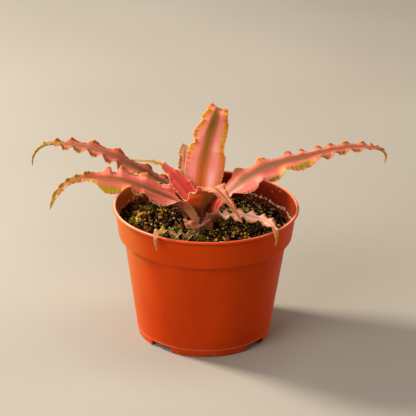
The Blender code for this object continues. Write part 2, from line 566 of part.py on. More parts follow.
def main():
    """Build the whole plant in its pot."""
    clear_scene()
    make_pot()
    make_soil()
    make_stem()
    for name, leaf in LEAVES.items():
        make_leaf(name, leaf)


main()
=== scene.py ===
# %% [markdown]
# # An earth star in its nursery pot
# The object is a small rosette plant with long, wavy, finely toothed leaves. It grows in dark potting mix
# in a round plastic nursery pot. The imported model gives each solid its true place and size. Here every
# solid gets a finer surface of the same form, and a finish with the detail that the real one shows.
#
# All shapes below are worked out in millimetres and are scaled to metres when a mesh is made.

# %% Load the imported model
import math
from itertools import combinations
from types import SimpleNamespace

import bpy
import numpy as np
from mathutils import Matrix


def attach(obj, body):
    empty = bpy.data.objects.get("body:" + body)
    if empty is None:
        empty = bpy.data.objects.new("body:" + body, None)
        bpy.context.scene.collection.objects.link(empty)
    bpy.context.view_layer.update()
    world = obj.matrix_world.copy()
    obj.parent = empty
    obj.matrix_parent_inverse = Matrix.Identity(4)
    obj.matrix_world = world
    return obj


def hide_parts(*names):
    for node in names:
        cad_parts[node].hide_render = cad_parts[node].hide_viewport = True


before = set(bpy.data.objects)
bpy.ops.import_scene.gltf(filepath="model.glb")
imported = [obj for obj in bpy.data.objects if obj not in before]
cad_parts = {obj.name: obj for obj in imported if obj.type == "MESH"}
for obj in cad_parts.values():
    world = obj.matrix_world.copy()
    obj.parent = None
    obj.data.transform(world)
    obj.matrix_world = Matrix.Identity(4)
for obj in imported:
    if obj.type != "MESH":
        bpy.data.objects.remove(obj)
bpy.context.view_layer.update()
MM = 0.001
print("nodes:", ", ".join(sorted(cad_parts)))

# %% [markdown]
# ## From arrays to meshes
# A surface is a function of two parameters, worked out on a grid of rows and columns. Numpy computes all
# its points at once, and foreach_set copies them into the mesh, which is far quicker than a loop. The
# places and shares that a finish needs, such as how far a point is from the leaf's edge, travel with the
# mesh as attributes.


# %% Mesh helpers
def grid_quads(rows, columns, closed=False):
    """Quads between neighbours of a grid, with the last column joined to the first where it is closed."""
    number = np.arange(rows * columns).reshape(rows, columns)
    if closed:
        number = np.concatenate([number, number[:, :1]], axis=1)
    low, high = number[:-1], number[1:]
    return np.stack([low[:, :-1], low[:, 1:], high[:, 1:], high[:, :-1]], axis=-1).reshape(-1, 4)


def tube_faces(rows, columns):
    """Faces of a closed tube: quads between its rings, and at each end a fan round one more point.

    The two end points come after the points of the grid, and the first belongs to the first ring.
    """
    ring = np.arange(columns)
    after, last, middle = (ring + 1) % columns, (rows - 1) * columns, np.full(columns, rows * columns)
    fans = np.concatenate([np.stack([middle, after, ring], axis=1),
                           np.stack([middle + 1, last + ring, last + after], axis=1)])
    return [grid_quads(rows, columns, closed=True), fans]


def copied(faces, corners, count):
    """The faces of one small body, repeated for many bodies of that many corners each."""
    return (faces[None] + corners * np.arange(count)[:, None, None]).reshape(-1, 3)


def new_object(name, data):
    """An object of the scene that shows the data."""
    made = bpy.data.objects.new(name, data)
    bpy.context.scene.collection.objects.link(made)
    return made


def stand(thing, right, up, back, place):
    """Put a camera or a lamp at a place in millimetres, with its own axes along three directions."""
    rows = np.column_stack([right, up, back, np.array(place) * MM]).tolist()
    thing.matrix_world = Matrix(rows + [[0.0, 0.0, 0.0, 1.0]])


def level(turn):
    """Unit vectors in the ground's plane, turned by an angle from the x axis."""
    return np.stack([np.cos(turn), np.sin(turn), np.zeros(len(turn))], -1)


def make_piece(name, points, faces, finish, replaced=None, marks=None):
    """A mesh object from points in millimetres and lists of faces, riding on the root body.

    faces is one array of triangles or quads, or a list of such arrays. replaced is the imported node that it
    stands for. marks holds attributes of the points: one number or three numbers for each.
    """
    groups = faces if isinstance(faces, list) else [faces]
    mesh = bpy.data.meshes.new(name)
    mesh.vertices.add(len(points))
    mesh.vertices.foreach_set("co", (np.asarray(points) * MM).astype(np.float32).ravel())
    sizes = np.concatenate([np.full(len(group), group.shape[1]) for group in groups])
    corners = np.concatenate([group.ravel() for group in groups])
    mesh.loops.add(len(corners))
    mesh.loops.foreach_set("vertex_index", corners.astype(np.int32))
    mesh.polygons.add(len(sizes))
    starts = np.concatenate([[0], np.cumsum(sizes)[:-1]])
    mesh.polygons.foreach_set("loop_start", starts.astype(np.int32))
    mesh.polygons.foreach_set("use_smooth", np.full(len(sizes), True))
    for label, values in (marks or {}).items():
        kind, field = ("FLOAT_VECTOR", "vector") if values.ndim == 2 else ("FLOAT", "value")
        layer = mesh.attributes.new(label, kind, "POINT")
        layer.data.foreach_set(field, values.astype(np.float32).ravel())
    mesh.update(calc_edges=True)
    mesh.validate()
    mesh.materials.append(finish)
    piece = new_object(name, mesh)
    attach(piece, "root")
    if replaced:
        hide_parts(replaced)
    print(f"{name}: {len(points)} points, {len(sizes)} faces")
    return piece


def smooth_noise(x, y, cell, seed):
    """Rolling bumps between -1 and 1: random values on a square lattice, blended by s*s*(3-2*s)."""
    size = 64
    table = np.random.default_rng(seed).uniform(-1, 1, (size, size))
    column, row = np.floor(x / cell).astype(int), np.floor(y / cell).astype(int)
    a, b = x / cell - column, y / cell - row
    a, b = a * a * (3 - 2 * a), b * b * (3 - 2 * b)

    def along(line):
        """The values of one lattice row, blended between two columns."""
        return table[line % size, column % size] * (1 - a) + table[line % size, (column + 1) % size] * a

    return along(row) * (1 - b) + along(row + 1) * b


# %% [markdown]
# ## Camera, floor and light
# The camera looks down on the plant by about 23 degrees from a little over a metre away, through a long
# lens, which keeps the pot's sides almost parallel. A warm light from the upper left and behind gives the
# leaves their bright rims and the pot its light left edge, and the rest is soft and even.

# %% Camera
ELEVATION = math.radians(23.4)
CAMERA_ROLL = math.radians(-1.1)
CAMERA_DISTANCE = 1100.0
FOCAL_PIXELS = 1958.0
FRAME_PIXELS = 416
SENSOR = 36.0
AIM = np.array([1.2, 0.0, 74.7])

back = np.array([0.0, -math.cos(ELEVATION), math.sin(ELEVATION)])
level_up = np.array([0.0, math.sin(ELEVATION), math.cos(ELEVATION)])
level_right = np.array([1.0, 0.0, 0.0])
camera_right = math.cos(CAMERA_ROLL) * level_right - math.sin(CAMERA_ROLL) * level_up
camera_up = math.sin(CAMERA_ROLL) * level_right + math.cos(CAMERA_ROLL) * level_up
lens = bpy.data.cameras.new("camera")
lens.sensor_width = SENSOR
lens.lens = FOCAL_PIXELS / FRAME_PIXELS * SENSOR
camera = new_object("camera", lens)
stand(camera, camera_right, camera_up, back, AIM + back * CAMERA_DISTANCE)
bpy.context.scene.camera = camera
print("camera: lens %.1f mm, %.2f m away" % (lens.lens, CAMERA_DISTANCE * MM))

# %% [markdown]
# ## Short ways to wire a shader
# A finish is a small network of nodes. Here a socket's value behaves like a number: adding or multiplying
# two of them makes the node that does it. Plain numbers and colours are set on the input itself.


# %% Node helpers
class Flow:
    """A value that flows out of a shader socket, used in sums and products like a number."""

    def __init__(self, tree, socket):
        self.tree, self.socket = tree, socket

    def step(self, operation, *inputs):
        """One node of arithmetic."""
        return flow(self.tree, "Math", dict(enumerate(inputs)), operation=operation)

    def __add__(self, other):
        return self.step("ADD", self, other)

    def __sub__(self, other):
        return self.step("SUBTRACT", self, other)

    def __rsub__(self, other):
        return self.step("SUBTRACT", other, self)

    def __mul__(self, other):
        return self.step("MULTIPLY", self, other)

    def __truediv__(self, other):
        return self.step("DIVIDE", self, other)

    def __abs__(self):
        return self.step("ABSOLUTE", self)

    def __lt__(self, other):
        return self.step("LESS_THAN", self, other)

    def __gt__(self, other):
        return self.step("GREATER_THAN", self, other)

    def at_least(self, other):
        """The greater of the two."""
        return self.step("MAXIMUM", self, other)

    def clamped(self):
        """The same value, kept between 0 and 1 by its own node."""
        self.socket.node.use_clamp = True
        return self


def title(label):
    """The name of a socket from a name in code: base_color stands for Base Color."""
    return label.replace("_", " ").title().replace("Ior", "IOR")


def feed(socket, value):
    """Link a value, or set a number or a colour."""
    if isinstance(value, Flow):
        value.tree.links.new(value.socket, socket)
    elif isinstance(value, tuple) and len(socket.default_value) == 4:
        socket.default_value = (*value, 1.0)
    else:
        socket.default_value = value


def give(made, **values):
    """Feed inputs of a node by name."""
    for label, value in values.items():
        feed(made.inputs[title(label)], value)


def node(tree, kind, inputs, **settings):
    """A node of that kind, with its settings and the inputs fed by name or number."""
    made = tree.nodes.new("ShaderNode" + kind)
    for label, value in settings.items():
        setattr(made, label, value)
    for label, value in inputs.items():
        feed(made.inputs[label], value)
    return made


def flow(tree, kind, inputs, output=0, **settings):
    """What comes out of a new node."""
    return Flow(tree, node(tree, kind, inputs, **settings).outputs[output])


def blend(share, a, b, how="MIX"):
    """Colour a where share is 0 and colour b where it is 1."""
    tree = next(value.tree for value in (share, a, b) if isinstance(value, Flow))
    return flow(tree, "Mix", {0: share, 6: a, 7: b}, 2, data_type="RGBA", blend_type=how)


def layered(colour, *layers):
    """A colour with others laid over it in turn, each given as its share and its colour."""
    for share, over in layers:
        colour = blend(share, colour, over)
    return colour


def fade(value, start, end, low=0.0, high=1.0):
    """A soft step from low to high while the value goes from start to end."""
    inputs = {0: value, 1: start, 2: end, 3: low, 4: high}
    return flow(value.tree, "MapRange", inputs, interpolation_type="SMOOTHSTEP")


def line_at(value, place, reach):
    """1 where the value is at a place, falling softly to 0 at a reach from it."""
    return fade(abs(value - place), reach, 0.1)


def scaled(vector, x, y, z):
    """The vector with each of its parts multiplied."""
    return flow(vector.tree, "VectorMath", {0: vector, 1: (x, y, z)}, operation="MULTIPLY")


def noise(vector, scale, detail=2.0, rough=0.5):
    """Cloudy noise, mostly between 0.3 and 0.7."""
    inputs = {"Vector": vector, "Scale": scale, "Detail": detail, "Roughness": rough}
    return flow(vector.tree, "TexNoise", inputs, "Fac")


def mark(tree, label, output="Fac"):
    """An attribute of the mesh as one number, or as three with the output Vector."""
    return flow(tree, "Attribute", {}, output, attribute_name=label)


def parts_of(vector):
    """The three numbers of a vector."""
    return [Flow(vector.tree, output) for output in node(vector.tree, "SeparateXYZ", {0: vector}).outputs]


def millimetres(tree):
    """Object coordinates in millimetres."""
    return scaled(flow(tree, "TexCoord", {}, "Object"), 1 / MM, 1 / MM, 1 / MM)


def new_group(name, inputs, outputs):
    """An empty node group. Gives its tree, what comes in by name, and its output node.

    inputs holds the usual values: a number, a colour, or None for a vector. outputs holds kinds.
    """
    tree = bpy.data.node_groups.new(name, "ShaderNodeTree")
    for label, value in inputs.items():
        kind = "Vector" if value is None else "Color" if isinstance(value, tuple) else "Float"
        socket = tree.interface.new_socket(title(label), in_out="INPUT", socket_type="NodeSocket" + kind)
        if value is not None:
            socket.default_value = (*value, 1.0) if kind == "Color" else value
    for label, kind in outputs.items():
        tree.interface.new_socket(title(label), in_out="OUTPUT", socket_type="NodeSocket" + kind)
    source = tree.nodes.new("NodeGroupInput").outputs
    coming = {label: Flow(tree, source[title(label)]) for label in inputs}
    return tree, SimpleNamespace(**coming), tree.nodes.new("NodeGroupOutput")


def use_group(tree, group, **inputs):
    """A group placed in a tree. Gives what comes out, by name."""
    made = tree.nodes.new("ShaderNodeGroup")
    made.node_tree = group
    give(made, **inputs)
    return SimpleNamespace(**{output.name.lower(): Flow(tree, output) for output in made.outputs})


def new_finish(name, **settings):
    """A material, its tree and its Principled shader, with fixed values set on the shader."""
    finish = bpy.data.materials.new(name)
    finish.use_nodes = True
    shader = finish.node_tree.nodes["Principled BSDF"]
    give(shader, **settings)
    return finish, finish.node_tree, shader


def raise_bumps(shader, height, depth, strength=1.0):
    """Bumps of that depth, in millimetres, where the height goes from 0 to 1."""
    inputs = {"Height": height, "Distance": depth * MM, "Strength": strength}
    give(shader, normal=flow(height.tree, "Bump", inputs))


# %% Floor and light
FLOOR_REACH = 3000.0


def make_floor():
    """A wide level sheet at z = 0, pale and matt with a faint unevenness."""
    finish, tree, shader = new_finish("pale_floor", roughness=0.8)
    tone = fade(noise(flow(tree, "TexCoord", {}, "Object"), 3.0), 0.3, 0.7)
    give(shader, base_color=blend(tone, (0.33, 0.32, 0.305), (0.37, 0.36, 0.345)))
    corners = np.array([[-1, -1, 0], [1, -1, 0], [1, 1, 0], [-1, 1, 0]]) * FLOOR_REACH
    mesh = bpy.data.meshes.new("floor")
    mesh.from_pydata((corners * MM).tolist(), [], [(0, 1, 2, 3)])
    mesh.materials.append(finish)
    new_object("floor", mesh)


def add_light(name, spot, aim, size, power, colour):
    """A square soft light at a spot, turned to an aim, both in millimetres."""
    light = bpy.data.lights.new(name, "AREA")
    light.size, light.energy, light.color = size * MM, power, colour
    away = np.array(spot, float) - np.array(aim, float)
    away /= np.linalg.norm(away)
    side = np.cross([0.0, 0.0, 1.0], away)
    side /= np.linalg.norm(side)
    stand(new_object(name, light), side, np.cross(away, side), away, spot)


make_floor()
add_light("warm_key", (-950, 380, 720), (0, 0, 80), 240, 27.2, (1.0, 0.87, 0.68))
add_light("soft_fill", (-900, -1000, 900), (0, 0, 60), 900, 15.8, (1.0, 0.92, 0.80))
add_light("top_soft", (150, 200, 1500), (0, 0, 60), 800, 6.6, (1.0, 0.92, 0.80))
add_light("warm_bounce", (900, 350, 260), (0, 0, 50), 500, 3.7, (1.0, 0.66, 0.38))
world = bpy.data.worlds.new("pale_room")
bpy.context.scene.world = world
world.use_nodes = True
give(world.node_tree.nodes["Background"], color=(0.90, 0.80, 0.69), strength=0.15)
bpy.context.scene.view_settings.view_transform = "Standard"

# %% [markdown]
# ## The pot
# A nursery pot is one thin moulded shell: a rolled lip, a tall collar with a step under it, a plain tapered
# wall, a raised base plate and a foot ring with four notches. A shell like this is a profile carried round
# an axis. Only the foot is not round: inside a notch its lower edge lies higher, so the height of the
# profile's foot points depends on the angle as well.

# %% Pot sizes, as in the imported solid
POT_HEIGHT = 77.2
LIP_RADIUS = 52.5
LIP_TOP_INNER = 50.6
COLLAR_TOP_RADIUS, COLLAR_BOTTOM_RADIUS, COLLAR_BOTTOM = 50.75, 48.9, 59.1
BODY_TOP_RADIUS, BODY_BOTTOM_RADIUS = 45.9, 37.7
COLLAR_TOP = POT_HEIGHT - 2.9
WALL = 1.1
FOOT_HEIGHT, FOOT_WALL, PLATE = 4.0, 1.5, 1.4
NOTCH_DEGREES, NOTCH_HEIGHT, FIRST_NOTCH = 21.0, 3.4, -39.0
NOTCHES = FIRST_NOTCH + 90.0 * np.arange(4)
DRAIN_RADIUS, DRAIN_RING = 3.5, 21.0
AXIS_GAP = 4.0                # the profile stops this far from the axis, where a fan of triangles closes it
SHARP_ANGLE = math.radians(42)
FLARE = (COLLAR_TOP_RADIUS - COLLAR_BOTTOM_RADIUS) / (COLLAR_TOP - COLLAR_BOTTOM)


def body_radius(height):
    """Inner radius of the plain wall, which widens evenly with height."""
    return BODY_BOTTOM_RADIUS + (BODY_TOP_RADIUS - BODY_BOTTOM_RADIUS) * height / COLLAR_BOTTOM - WALL


def collar_radius(height):
    """Inner radius of the collar, which widens evenly with height."""
    return COLLAR_BOTTOM_RADIUS + FLARE * (height - COLLAR_BOTTOM) - WALL


def soft_corners(profile, reach, steps):
    """Round each corner of a profile with a small curve.

    The curve runs from a point before the corner to one after it, as (1-t)^2 a + 2t(1-t) corner + t^2 b.
    """
    corner = profile[1:-1]

    def toward(other):
        """A point on the way from each corner to its neighbour, before the middle of that side."""
        length = np.linalg.norm(other - corner, axis=1, keepdims=True)
        return corner + (other - corner) / length * np.minimum(reach, 0.45 * length)

    a, b = toward(profile[:-2]), toward(profile[2:])
    t = np.linspace(0, 1, steps)[None, :, None]
    curve = (1 - t) ** 2 * a[:, None] + 2 * t * (1 - t) * corner[:, None] + t**2 * b[:, None]
    return np.concatenate([profile[:1], curve.reshape(-1, 2), profile[-1:]])


def pot_profile():
    """Half section of the pot as (radius, height): under the plate, up outside, over the lip, down inside."""
    plate_top, step, top = FOOT_HEIGHT + PLATE, COLLAR_BOTTOM, POT_HEIGHT
    foot = body_radius(FOOT_HEIGHT) + WALL
    points = np.array([
        (AXIS_GAP, FOOT_HEIGHT), (BODY_BOTTOM_RADIUS - FOOT_WALL + 0.2, FOOT_HEIGHT),
        (BODY_BOTTOM_RADIUS - FOOT_WALL, 0.0), (BODY_BOTTOM_RADIUS, 0.0),
        (foot - 0.1, FOOT_HEIGHT - 0.1), (foot + 0.28, FOOT_HEIGHT + 0.3), (foot + 0.06, FOOT_HEIGHT + 0.75),
        (BODY_TOP_RADIUS, step - 0.6), (BODY_TOP_RADIUS + 1.6, step - 0.2),
        (COLLAR_BOTTOM_RADIUS - 0.2, step + 0.4), (COLLAR_BOTTOM_RADIUS + 0.15, step + 1.7),
        (COLLAR_TOP_RADIUS, top - 2.4), (LIP_RADIUS - 0.5, top - 2.1), (LIP_RADIUS, top - 1.3),
        (LIP_RADIUS - 0.4, top - 0.7), (LIP_RADIUS - 0.9, top - 0.4), (LIP_TOP_INNER + 0.3, top - 0.4),
        (LIP_TOP_INNER - 0.1, top - 0.8), (collar_radius(top - 3.2), top - 3.2),
        (collar_radius(step + 1.6), step + 1.6), (body_radius(step - 1.2) + 0.3, step - 0.9),
        (body_radius(step - 1.6), step - 1.6), (body_radius(plate_top + 1.0), plate_top + 1.0),
        (body_radius(plate_top) - 1.0, plate_top), (AXIS_GAP, plate_top)])
    return soft_corners(points, 0.7, 5)


def notch_lift(angle):
    """How high the foot's lower edge lies: 0 on the ring, the notch's height inside a notch."""
    from_notch = (angle - FIRST_NOTCH + 45.0) % 90.0 - 45.0
    share = np.clip((NOTCH_DEGREES / 2 + 0.9 - np.abs(from_notch)) / 1.1, 0.0, 1.0)
    return NOTCH_HEIGHT * share


def pot_points():
    """The profile carried round the axis, with the foot squeezed up between notch edge and plate."""
    edges = np.array([notch + side * (NOTCH_DEGREES / 2 + beyond)
                      for notch in NOTCHES for side in (-1, 1) for beyond in (-0.2, 0.35, 0.9)]) % 360
    angle = np.unique(np.round(np.concatenate([np.arange(0, 360, 1.25), edges]), 3))
    radius, height = pot_profile().T
    lift = notch_lift(angle)[None]
    radius, height = radius[:, None], height[:, None]
    in_foot = height < FOOT_HEIGHT
    raised = np.where(in_foot, lift + height * (1 - lift / FOOT_HEIGHT), height)
    slant = (BODY_TOP_RADIUS - BODY_BOTTOM_RADIUS) / COLLAR_BOTTOM
    outside = in_foot & (radius > BODY_BOTTOM_RADIUS - FOOT_WALL / 2)
    radius = radius + np.where(outside, (raised - height) * slant, 0.0)
    turn = np.radians(angle)[None]
    return np.stack([radius * np.cos(turn), radius * np.sin(turn), raised], axis=-1)


# %% [markdown]
# ### A finish of moulded plastic
# Terracotta-coloured plastic has an even satin skin with very fine grain. Painted highlights make the left
# side, the lip and the bead above the foot paler, the collar is painted lighter towards the front and right,
# and painted shade darkens the grooves and the inside, with a painted patch of light on its right. Inside,
# the wall has dried lime above the soil and dark smears of mix. Dust is shared by several finishes, so it
# is a node group with its own values in each.

# %% Shared group: dust and specks
dust_group, coming, going = new_group("dust_and_specks", dict(vector=None, size=1.0, amount=0.3),
                                      dict(cloud="Float", specks="Float"))
cells = node(dust_group, "TexVoronoi", {"Vector": coming.vector, "Scale": coming.size}).outputs
chance = parts_of(Flow(dust_group, cells["Color"]))[0]
near = fade(Flow(dust_group, cells["Distance"]), 0.30, 0.12)
give(going, specks=near * (chance < coming.amount),
     cloud=fade(noise(coming.vector, 0.06, 4.0, 0.6) + noise(coming.vector, 0.9, 3.0, 0.6), 0.85, 1.25))


# %% Pot finish
def pot_finish():
    """Satin plastic: body colour by height and side with painted highlights and painted shade, lime line,
    dust and grain.
    """
    finish, tree, shader = new_finish("terracotta_plastic", specular_ior_level=0.06, sheen_weight=0.22,
                                      sheen_roughness=0.25, sheen_tint=(1.0, 0.74, 0.38))
    spot = millimetres(tree)
    x, _, z = parts_of(spot)
    from_axis = flow(tree, "VectorMath", {0: scaled(spot, 1.0, 1.0, 0.0)}, 1, operation="LENGTH")
    dust = use_group(tree, dust_group, vector=spot, size=0.5, amount=0.12)
    tone = noise(scaled(spot, 1.0, 1.0, 0.5), 0.035)
    wall_noise = noise(spot, 0.35, 4.0, 0.7)
    wall_middle = z * FLARE + (COLLAR_BOTTOM_RADIUS - WALL / 2 - FLARE * COLLAR_BOTTOM)
    inside = fade(from_axis - wall_middle, 0.1, -0.1) * fade(z, 59.6, 60.4)
    outer_skin = fade(tone, 0.35, 0.65)
    # painted highlight: the left side, where the key light falls, is painted paler and more orange
    painted_left_highlight = fade(x, -27.0, -46.0, 0.0, 0.8) * fade(tone, 0.2, 0.6, 0.8, 1.0)
    # painted highlight: the lip is painted paler towards its top
    painted_lip_highlight = fade(z + dust.cloud * 0.8, 75.6, 77.3) * 0.12
    lit_sides = fade(x, -8.0, -34.0, 0.15, 0.8).at_least(fade(x, 20.0, 40.0, 0.15, 1.0))
    # painted highlight: a pale line along the top of the lip on the lit left and right sides
    rim = lit_sides * fade(z, POT_HEIGHT - 0.8, POT_HEIGHT - 0.5)
    dusty_foot = fade(z, 8.0, 0.5) * (dust.cloud * 0.16)
    # painted light: the collar is painted lighter from its left towards the front and right
    collar = fade(z, COLLAR_BOTTOM, COLLAR_BOTTOM + 1.5) * fade(x, -30.0, -5.0, 0.0, 0.5)
    # painted highlight: a pale line along the raised bead above the foot
    painted_bead_highlight = line_at(z, FOOT_HEIGHT + 0.35, 0.45) * 0.35
    # painted shade: dark lines in the groove under the lip and at the step under the collar
    groove_shade = line_at(z, POT_HEIGHT - 2.5, 0.5).at_least(line_at(z, COLLAR_BOTTOM - 0.3, 0.7))
    groove_shade = groove_shade * (1.0 - inside)
    shade = inside * fade(x, -35.0, 30.0, 0.3, 1.0)
    lit_inside = inside * fade(x, 45.0, 50.0, 0.0, 0.35)
    smear = inside * fade(z + wall_noise * -14.0, 61.5, 54.0) * fade(x, -10.0, 20.0, 0.8, 0.4)
    lime_line = x * -0.040 + 67.4
    crust = fade(abs(z - lime_line), 1.0, 0.1) * fade(wall_noise, 0.50, 0.62) * inside
    skin = layered(blend(outer_skin, (0.49, 0.038, 0.0008), (0.57, 0.048, 0.001)),
                   (painted_left_highlight, (0.47, 0.120, 0.016)), (painted_lip_highlight, (0.86, 0.20, 0.09)), (rim, (1.0, 0.50, 0.34)),
                   (dusty_foot, (0.66, 0.33, 0.20)), (collar, (0.66, 0.055, 0.001)),
                   (painted_bead_highlight, (0.86, 0.24, 0.12)), (groove_shade * 0.85, (0.13, 0.006, 0.001)),
                   (shade, (0.100, 0.006, 0.0004)), (lit_inside, (0.42, 0.045, 0.002)),
                   (smear, (0.060, 0.018, 0.006)), (crust * 0.55, (0.62, 0.50, 0.38)),
                   (dust.specks * (inside * 0.5), (0.50, 0.34, 0.22)))
    give(shader, base_color=skin, roughness=dust.cloud * 0.10 + 0.46 + groove_shade * 0.45 + smear * 0.35)
    raise_bumps(shader, noise(spot, 2.6) + crust * 2.0, 0.05, 0.6)
    return finish


# %% Pot mesh
def make_pot():
    """The carried profile, closed at the axis, with five drain holes cut through the plate."""
    grid = pot_points()
    middle = [[0, 0, FOOT_HEIGHT], [0, 0, FOOT_HEIGHT + PLATE]]
    points = np.concatenate([grid.reshape(-1, 3), middle])
    pot = make_piece("pot_shell", points, tube_faces(*grid.shape[:2]), pot_finish(), "pot")
    turns = np.radians(NOTCHES)
    spots = [(0.0, 0.0)] + [(DRAIN_RING * math.cos(t), DRAIN_RING * math.sin(t)) for t in turns]
    for x, y in spots:
        bpy.ops.mesh.primitive_cylinder_add(vertices=40, radius=DRAIN_RADIUS * MM, depth=6 * MM,
                                            location=(x * MM, y * MM, (FOOT_HEIGHT + PLATE / 2) * MM))
        peg = bpy.context.active_object
        cut = pot.modifiers.new("drain", "BOOLEAN")
        cut.object, cut.operation, cut.solver = peg, "DIFFERENCE", "EXACT"
        with bpy.context.temp_override(object=pot, active_object=pot, selected_objects=[pot]):
            bpy.ops.object.modifier_apply(modifier=cut.name)
        bpy.data.objects.remove(peg, do_unlink=True)
    pot.data.shade_smooth()
    pot.data.set_sharp_from_angle(angle=SHARP_ANGLE)
    print("pot faces after the drain holes:", len(pot.data.polygons))


make_pot()

# %% [markdown]
# ## The soil
# Potting mix is crumbs of bark and peat with a few pale grains, and here some moss. One rolling surface
# fills the pot, and thousands of small crumbs lie in it, so that its roughness is real shape. Each kind of
# grain is one mesh: a lumpy ball, copied, stretched, turned and laid on the surface by seeded draws.

# %% Soil surface
STEM_X, STEM_Y = -1.6, -1.6
SOIL_AT_CROWN, SOIL_TILT_X, SOIL_TILT_Y, SOIL_LEAST = 65.6, -0.055, -0.075, 62.0
SOIL_EDGE, GRAIN_LIMIT = 47.6, 46.8
CALM_REACH, CALM_FADE = 8.0, 14.0     # the soil is even this near the crown, and gets rough over the next
STEM_HOLE, STEM_FOOT = 4.9, 48.0


def soil_height(x, y):
    """Height of the soil: a tilted plane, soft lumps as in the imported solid, and finer rolling bumps."""
    lumps = 0.9 * np.sin(x * 0.19 + 1.3) * np.cos(y * 0.17 - 0.6)
    lumps = lumps + 0.6 * np.sin(x * 0.37 - y * 0.29 + 2.0)
    near = np.clip((np.hypot(x - STEM_X, y - STEM_Y) - CALM_REACH) / CALM_FADE, 0.0, 1.0)
    height = SOIL_AT_CROWN + near * (SOIL_TILT_X * (x + 6.0) + SOIL_TILT_Y * (y + 4.0) + lumps)
    height = np.maximum(height, SOIL_LEAST)
    fine = 1.3 * smooth_noise(x, y, 3.6, 11) + 1.0 * smooth_noise(x, y, 1.9, 12)
    fine += 0.3 * smooth_noise(x, y, 0.8, 13)
    return height + fine * (0.25 + 0.75 * near) - 0.3


# %% Soil finishes
def mix_finish(name, stops, rough=0.9, green=0.0):
    """Grains whose colour is picked by each grain's own number, with fine mottling."""
    finish, tree, shader = new_finish(name, roughness=rough, specular_ior_level=0.05)
    spot = millimetres(tree)
    ramp = node(tree, "ValToRGB", {0: mark(tree, "tone")})
    ends = ramp.color_ramp.elements
    for end, (position, colour) in ((ends[0], stops[0]), (ends[1], stops[-1])):
        end.position, end.color = position, (*colour, 1)
    for position, colour in stops[1:-1]:
        ends.new(position).color = (*colour, 1)
    dust = use_group(tree, dust_group, vector=spot, size=2.2, amount=0.25)
    mottled = blend(fade(noise(spot, 1.6, 3.0, 0.6), 0.35, 0.68), (0.35, 0.32, 0.30), (1.35, 1.35, 1.35))
    colour = blend(1.0, Flow(tree, ramp.outputs["Color"]), mottled, "MULTIPLY")
    if green:
        colour = blend(fade(noise(spot, 0.11, 3.0, 0.6), 0.52, 0.66, 0.0, green), colour, (0.10, 0.12, 0.012))
    give(shader, base_color=blend(dust.specks * 0.1, colour, (0.30, 0.20, 0.11)))
    raise_bumps(shader, noise(spot, 3.0, 4.0, 0.7), 0.35)
    return finish


BED_STOPS = [(0.0, (0.004, 0.002, 0.001)), (1.0, (0.020, 0.011, 0.006))]


def make_soil():
    """The filled space as one closed skin: floor, side, rolling top, and the plain hole round the crown."""
    count = 300
    turn = np.arange(count) * 2 * math.pi / count
    floor, step = FOOT_HEIGHT + PLATE + 0.3, COLLAR_BOTTOM
    side = [(body_radius(floor) - 1.6, floor), (body_radius(floor + 1.4) - 0.3, floor + 1.4),
            (body_radius(step - 1.8) - 0.3, step - 1.8), (body_radius(step - 0.5) - 0.3, step - 0.5),
            (collar_radius(step + 1.6) - 0.5, step + 2.1)]
    rings = [level(turn) * radius + [0, 0, height] for radius, height in side]
    radius = np.linspace(SOIL_EDGE, STEM_HOLE, 110)[:, None]
    share = (radius - STEM_HOLE) / (SOIL_EDGE - STEM_HOLE)
    x = radius * np.cos(turn) + STEM_X * (1 - share)
    y = radius * np.sin(turn) + STEM_Y * (1 - share)
    top = np.stack([x, y, soil_height(x, y)], axis=-1)
    hole = top[-1] * [1, 1, 0] + [0, 0, STEM_FOOT]
    points = np.concatenate([*rings, top.reshape(-1, 3), hole, [[0, 0, floor], [STEM_X, STEM_Y, STEM_FOOT]]])
    dark = mix_finish("potting_mix_bed", BED_STOPS, 0.95, 0.4)
    tone = 0.5 + 0.5 * smooth_noise(points[:, 0], points[:, 1], 2.1, 21)
    make_piece("soil_bed", points, tube_faces(len(rings) + len(top) + 1, count), dark, "soil",
               {"tone": tone})


make_soil()

# %% Grains
GOLDEN = (1 + 5**0.5) / 2
BALL = np.array([(0, s, t * GOLDEN) for s in (-1, 1) for t in (-1, 1)] +
                [(s, t * GOLDEN, 0) for s in (-1, 1) for t in (-1, 1)] +
                [(t * GOLDEN, 0, s) for s in (-1, 1) for t in (-1, 1)]) / math.hypot(1, GOLDEN)


def ball_faces():
    """The twenty triangles of the twelve-cornered ball: every three corners that are near each other."""
    faces = []
    for a, b, c in combinations(range(len(BALL)), 3):
        if max(np.linalg.norm(BALL[p] - BALL[q]) for p, q in ((a, b), (b, c), (a, c))) < 1.1:
            out = np.cross(BALL[b] - BALL[a], BALL[c] - BALL[a]) @ BALL[a] > 0
            faces.append((a, b, c) if out else (a, c, b))
    return np.array(faces)


BALL_FACES = ball_faces()
LUMPS = 0.28                  # how far a corner of a grain strays from the ball


def random_turns(draw, count):
    """Random rotation matrices from four normal draws each, as unit quaternions."""
    numbers = draw.normal(size=(4, count))
    w, x, y, z = numbers / np.linalg.norm(numbers, axis=0)
    return np.stack([np.stack([1 - 2 * (y * y + z * z), 2 * (x * y - w * z), 2 * (x * z + w * y)], -1),
                     np.stack([2 * (x * y + w * z), 1 - 2 * (x * x + z * z), 2 * (y * z - w * x)], -1),
                     np.stack([2 * (x * z - w * y), 2 * (y * z + w * x), 1 - 2 * (x * x + y * y)], -1)], 1)


def spread(draw, count, inner=6.4, outer=47.0):
    """Spots on the soil's top, even over its area."""
    radius = np.sqrt(draw.uniform(inner**2, outer**2, count))
    turn = draw.uniform(0, 2 * math.pi, count)
    share = (radius - inner) / (outer - inner)
    return radius * np.cos(turn) + STEM_X * (1 - share), radius * np.sin(turn) + STEM_Y * (1 - share)


